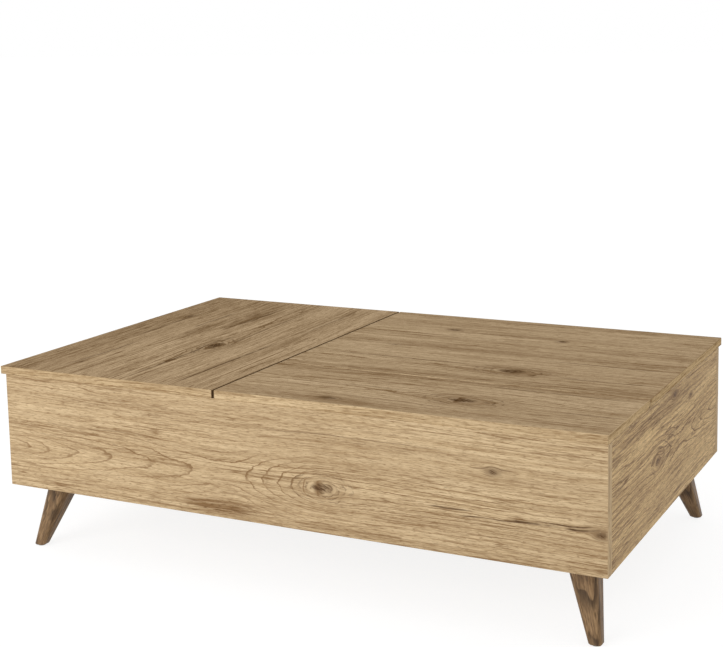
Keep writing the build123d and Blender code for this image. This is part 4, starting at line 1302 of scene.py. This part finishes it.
@dataclass(frozen=True)
class RecessedHeads:
    """Screws or cams with a cross recess, repeated over their seats by a node tree; metres."""

    head_radius: float = 0.0039
    head_height: float = 0.0019
    shank_radius: float = 0.0019
    length: float = 0.0129
    tip: float = 0.0019
    recess_reach: float = 0.0023
    recess_width: float = 0.0009
    recess_depth: float = 0.0012
    sides: int = 28
    seed: int = 7

    def inputs(self) -> dict[str, Union[int, float]]:
        """The named inputs of the tree and their values."""
        return {part.name.replace("_", " ").capitalize(): getattr(self, part.name) for part in fields(self)}

    def tree(self, name: str) -> bpy.types.NodeTree:
        """Builds the node tree that makes one fastener and repeats it over points.

        Args:
            name: The tree's name.

        Returns:
            The tree, which ends in Realize Instances and Set Material.
        """
        group = bpy.data.node_groups.new(name, "GeometryNodeTree")
        sockets = {"Seats": "Geometry", "Finish": "Material"}
        for label, value in self.inputs().items():
            sockets[label] = "Int" if isinstance(value, int) else "Float"
        for label, kind in sockets.items():
            group.interface.new_socket(label, in_out="INPUT", socket_type=f"NodeSocket{kind}")
        group.interface.new_socket("Fasteners", in_out="OUTPUT", socket_type="NodeSocketGeometry")
        tree = Tree(group)
        given = tree.node("NodeGroupInput")
        fastener, turned = self._fastener(tree, given), self._turned(tree, given)
        repeated = tree.node("GeometryNodeInstanceOnPoints", None, {
            "Points": given["Seats"], "Instance": fastener, "Rotation": turned,
        })["Instances"]
        real = tree.node("GeometryNodeRealizeInstances", None, {"Geometry": repeated})["Geometry"]
        dressed = tree.node("GeometryNodeSetMaterial", None, {"Geometry": real, "Material": given["Finish"]})
        tree.node("NodeGroupOutput", None, {"Fasteners": dressed["Geometry"]})
        return group

    def _fastener(self, tree: Tree, given: Outputs) -> Value:
        """Shapes one fastener, its head at the origin and its shank along Z.

        Args:
            tree: The tree under construction.
            given: The tree's inputs.

        Returns:
            The fastener.
        """
        shank_radius, tip, head_height = given["Shank radius"], given["Tip"], given["Head height"]
        straight = given["Length"] - head_height - tip
        head = tree.node("GeometryNodeMeshCone", {"fill_type": "NGON"}, {
            "Vertices": given["Sides"], "Radius Top": shank_radius, "Radius Bottom": given["Head radius"],
            "Depth": head_height,
        })["Mesh"]
        head = tree.node("GeometryNodeMeshBoolean", {"operation": "DIFFERENCE", "solver": "EXACT"}, {
            "Mesh 1": head, "Mesh 2": self._recess(tree, given),
        })["Mesh"]
        shank = tree.node("GeometryNodeMeshCylinder", {"fill_type": "NGON"}, {
            "Vertices": given["Sides"], "Radius": shank_radius, "Depth": straight,
        })["Mesh"]
        point = tree.node("GeometryNodeMeshCone", {"fill_type": "NGON"}, {
            "Vertices": given["Sides"], "Radius Top": 0.0, "Radius Bottom": shank_radius, "Depth": tip,
        })["Mesh"]
        shank = self._raised(tree, shank, head_height + straight * 0.5)
        point = self._raised(tree, point, head_height + straight)
        return tree.node("GeometryNodeJoinGeometry", None, {"Geometry": [head, shank, point]})["Geometry"]

    @staticmethod
    def _recess(tree: Tree, given: Outputs) -> list[Value]:
        """The two bars that cut the cross, each as far above the head as into it.

        Args:
            tree: The tree under construction.
            given: The tree's inputs.

        Returns:
            The bars.
        """
        reach, width, depth = given["Recess reach"] * 2.0, given["Recess width"], given["Recess depth"] * 2.0
        bars = []
        for size in ((reach, width, depth), (width, reach, depth)):
            extent = tree.node("ShaderNodeCombineXYZ", None, dict(zip("XYZ", size)))["Vector"]
            bars.append(tree.node("GeometryNodeMeshCube", None, {"Size": extent})["Mesh"])
        return bars

    @staticmethod
    def _turned(tree: Tree, given: Outputs) -> Value:
        """The way each fastener goes in, with a random turn about its own axis.

        Args:
            tree: The tree under construction.
            given: The tree's inputs.

        Returns:
            The rotation.
        """
        into = tree.node("GeometryNodeInputNamedAttribute", {"data_type": "FLOAT_VECTOR"}, {"Name": "into"})
        facing = tree.node("FunctionNodeAlignRotationToVector", {"axis": "Z"}, {"Vector": into["Attribute"]})
        turn = tree.node("FunctionNodeRandomValue", {"data_type": "FLOAT"}, {
            "Min_001": 0.0, "Max_001": math.pi, "Seed": given["Seed"],
        })["Value_001"]
        spin = tree.node("FunctionNodeAxisAngleToRotation", None, {"Axis": (0.0, 0.0, 1.0), "Angle": turn})
        return tree.node("FunctionNodeRotateRotation", {"rotation_space": "LOCAL"}, {
            "Rotation": facing["Rotation"], "Rotate By": spin["Rotation"],
        })["Rotation"]

    @staticmethod
    def _raised(tree: Tree, shape: Value, height: Value) -> Value:
        """Lifts a shape along the fastener."""
        shift = tree.node("ShaderNodeCombineXYZ", None, {"Z": height})["Vector"]
        return tree.node("GeometryNodeTransform", None, {"Geometry": shape, "Translation": shift})["Geometry"]

    def build(self, node: str, finish: Finish) -> bpy.types.Object:
        """Makes every fastener of a CAD node as one mesh.

        Args:
            node: The CAD node that the mesh stands for.
            finish: Its finish.

        Returns:
            The finished object, its place in its mesh.
        """
        seats = [seat_of(points) for points in solids_of(node)]
        seats.sort(key=lambda seat: tuple(round(part, 5) for part in seat.head))
        points = bpy.data.meshes.new(f"{node}_seats")
        points.from_pydata([seat.head for seat in seats], [], [])
        into = points.attributes.new("into", "FLOAT_VECTOR", "POINT")
        for item, seat in zip(into.data, seats):
            item.vector = seat.into
        holder = bpy.data.objects.new(f"{node}_holder", points)
        bpy.context.scene.collection.objects.link(holder)
        modifier = holder.modifiers.new("fasteners", "NODES")
        modifier.node_group = self.tree(f"{node}_tree")
        values = {**self.inputs(), "Finish": finish.material()}
        for item in modifier.node_group.interface.items_tree:
            if item.name in values:
                modifier[item.identifier] = values[item.name]
        bpy.context.view_layer.update()
        evaluated = holder.evaluated_get(bpy.context.evaluated_depsgraph_get())
        mesh = bpy.data.meshes.new_from_object(evaluated)
        mesh.name = f"{node}_mesh"
        bpy.data.objects.remove(holder, do_unlink=True)
        bpy.data.meshes.remove(points)
        made = bpy.data.objects.new(f"{node}_recessed", mesh)
        bpy.context.scene.collection.objects.link(made)
        log.info("made %s: %d fasteners, %d faces", made.name, len(seats), len(mesh.polygons))
        return made

    def stand_for(self, node: str, body: str, finish: Finish) -> None:
        """Makes the fasteners of a CAD node and puts them in its place.

        Args:
            node: The CAD node.
            body: The body that they ride on.
            finish: Their finish.
        """
        piece = self.build(node, finish)
        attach(piece, body)
        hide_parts(node)
        finish.value[0]


# --------------------------------------------------------------------------- sub-assemblies
@dataclass
class Legs:
    """Four walnut legs with their plates, bolts and glides; lengths in metres."""

    names: tuple[str, ...] = ("front_left", "front_right", "back_left", "back_right")
    ring_offset: float = 0.05
    height: float = 0.130
    splay: tuple[float, float] = (0.036, 0.043)

    def dress(self) -> None:
        """Gives each leg its own stretch of walnut, and the fittings their finishes."""
        for name in self.names:
            low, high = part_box(f"{name}_leg")
            side = 1 if name.endswith("right") else -1
            centre = (low.x + self.ring_offset * side, high.y + self.ring_offset)
            lean = tuple(math.copysign(reach / self.height, -edge) for reach, edge in zip(self.splay, low))
            assign(f"{name}_leg", Walnut(centre=centre, lean=lean).build(f"walnut_{name}"))
        for node in ("leg_plates", "leg_bolts", "leg_plate_screws"):
            assign(node, Finish.ZINC.material())
        assign("foot_glides", Finish.GLIDE.material())


@dataclass
class Lifts:
    """The parallel-arm lifts of both lids."""

    sides: dict[str, tuple[str, str]] = field(default_factory=lambda: {
        "left_lid": ("front", "rear"), "back_lid": ("left", "right"),
    })
    screws: RecessedHeads = RecessedHeads()

    def dress(self) -> None:
        """Paints the steelwork, plates the pins and makes the recessed screws."""
        for lid, sides in self.sides.items():
            for side in sides:
                for piece in ("base_plate", "main_arm", "follower_arm", "bracket"):
                    assign(f"{lid}_{side}_{piece}", Finish.BLACK_STEEL.material())
                assign(f"{lid}_{side}_strut_cylinder", Finish.STRUT_BLACK.material())
                assign(f"{lid}_{side}_strut_rod", Finish.ROD_CHROME.material())
            for piece in ("pivot_rivets", "strut_pins"):
                assign(f"{lid}_{piece}", Finish.ZINC.material())
            self.screws.stand_for(f"{lid}_bracket_screws", f"{lid}_assembly", Finish.ZINC)
        assign("lift_base_rivets", Finish.ZINC.material())
        self.screws.stand_for("lift_base_screws", "carcass", Finish.ZINC)


@dataclass
class FlapHinges:
    """The two cup hinges of the flap."""

    screws: RecessedHeads = RecessedHeads(seed=11)

    def dress(self) -> None:
        """Plates the hinges and makes their screws."""
        for piece in ("cups", "necks", "arms", "plates"):
            assign(f"flap_hinge_{piece}", Finish.NICKEL.material())
        assign("flap_hinge_pins", Finish.ZINC.material())
        self.screws.stand_for("flap_cup_screws", "flap", Finish.ZINC)
        self.screws.stand_for("hinge_plate_screws", "carcass", Finish.ZINC)


@dataclass
class Fixings:
    """Dowels, cams and cam bolts inside the box's corners."""

    cams: RecessedHeads = RecessedHeads(
        head_radius=0.0075, head_height=0.0015, shank_radius=0.0073, length=0.0125, tip=0.001,
        recess_reach=0.0036, recess_width=0.0016, recess_depth=0.0011, seed=5,
    )

    def dress(self) -> None:
        """Gives the fixings their finishes and the cams their recess."""
        assign("carcass_dowels", Finish.BEECH.material())
        assign("cam_bolts", Finish.ZINC.material())
        self.cams.stand_for("cam_locks", "carcass", Finish.ZINC)


# --------------------------------------------------------------------------- floor, light and camera
@dataclass
class Studio:
    """A pale floor, a white surround, soft light and the camera.

    Places and reaches are in metres, angles in degrees, the lens and its sensor in millimetres, and the
    shift in shares of the sensor's width.
    """

    eye: tuple[float, float, float] = (1.2377, -2.3404, 0.9776)
    azimuth: float = 24.887
    elevation: float = 7.675
    roll: float = -0.759
    sensor: float = 36.0
    lens: float = 68.3024
    shift: tuple[float, float] = (-0.108575, -0.143154)
    surround: float = 0.78
    key_power: float = 52.0
    key_size: tuple[float, float] = (2.4, 1.8)
    key_place: tuple[float, float, float] = (-1.3, -3.2, 1.5)
    key_aim: tuple[float, float, float] = (0.0, 0.0, 0.2)
    floor_reach: float = 60.0
    floor_colour: Colour = (0.86, 0.86, 0.86, 1.0)
    floor_shade: Colour = (0.24, 0.24, 0.24, 1.0)
    floor_glow: float = 0.84

    def build(self) -> None:
        """Makes the floor, the surround, the lamp and the camera."""
        self.floor()
        self.world()
        self.lamp()
        self.camera()

    def floor(self) -> None:
        """A wide pale floor that shows white, with a faint shadow."""
        low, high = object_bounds()
        reach, middle = self.floor_reach, (low + high) / 2
        mesh = bpy.data.meshes.new("floor_mesh")
        corners = [(-reach, -reach), (reach, -reach), (reach, reach), (-reach, reach)]
        mesh.from_pydata([(middle.x + x, middle.y + y, low.z) for x, y in corners], [], [(0, 1, 2, 3)])
        floor = bpy.data.objects.new("floor", mesh)
        bpy.context.scene.collection.objects.link(floor)
        shader = Shader("pale_floor")
        path = shader.node("ShaderNodeLightPath")
        seen = path["Is Camera Ray"].most(path["Is Glossy Ray"])
        shade = shader.blend(self.floor_colour, self.floor_shade, seen)
        diffuse = shader.node("ShaderNodeBsdfDiffuse", None, {"Color": shade})["BSDF"]
        glow = shader.node("ShaderNodeEmission", None, {"Color": WHITE, "Strength": seen * self.floor_glow})
        both = shader.node("ShaderNodeAddShader", None, {0: diffuse, 1: glow["Emission"]})["Shader"]
        shader.node("ShaderNodeOutputMaterial", None, {"Surface": both})
        mesh.materials.append(shader.material)
        floor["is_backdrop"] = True

    def world(self) -> None:
        """White to the camera and in reflections, plain elsewhere."""
        world = bpy.data.worlds.new("surround")
        bpy.context.scene.world = world
        world.use_nodes = True
        world.node_tree.nodes.clear()
        tree = Tree(world.node_tree)
        path = tree.node("ShaderNodeLightPath")
        shown = path["Is Camera Ray"].most(path["Is Glossy Ray"]).most(path["Is Transmission Ray"])
        bright, plain = (
            tree.node("ShaderNodeBackground", None, {"Color": WHITE, "Strength": strength})["Background"]
            for strength in (1.0, self.surround)
        )
        mixed = tree.node("ShaderNodeMixShader", None, {0: shown, 1: plain, 2: bright})["Shader"]
        tree.node("ShaderNodeOutputWorld", None, {"Surface": mixed})

    def lamp(self) -> None:
        """One broad soft lamp from the front left."""
        lamp = bpy.data.lights.new("key", "AREA")
        lamp.energy, lamp.shape = self.key_power, "RECTANGLE"
        lamp.size, lamp.size_y = self.key_size
        key = bpy.data.objects.new("key", lamp)
        key.location = Vector(self.key_place)
        key.rotation_euler = (Vector(self.key_aim) - key.location).to_track_quat("-Z", "Y").to_euler()
        bpy.context.scene.collection.objects.link(key)

    def camera(self) -> None:
        """The camera, low to the front right, shifted to frame the table."""
        data = bpy.data.cameras.new("camera")
        data.sensor_width, data.lens = self.sensor, self.lens
        data.shift_x, data.shift_y = self.shift
        camera = bpy.data.objects.new("camera", data)
        turn, tilt, roll = (math.radians(angle) for angle in (self.azimuth, self.elevation, self.roll))
        ahead = Vector((-math.sin(turn) * math.cos(tilt), math.cos(turn) * math.cos(tilt), -math.sin(tilt)))
        facing = ahead.to_track_quat("-Z", "Y").to_matrix().to_4x4()
        camera.matrix_world = Matrix.Translation(self.eye) @ facing @ Matrix.Rotation(roll, 4, "Z")
        bpy.context.scene.collection.objects.link(camera)
        bpy.context.scene.camera = camera


def main() -> None:
    """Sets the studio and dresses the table."""
    logging.basicConfig(level=logging.INFO, format="%(name)s: %(message)s")
    Studio().build()
    for assembly in (Boards(), Legs(), Lifts(), FlapHinges(), Fixings()):
        assembly.dress()
        log.info("finished %s", type(assembly).__name__)
    bpy.context.scene.view_settings.view_transform = "Standard"


if __name__ == "__main__":
    main()
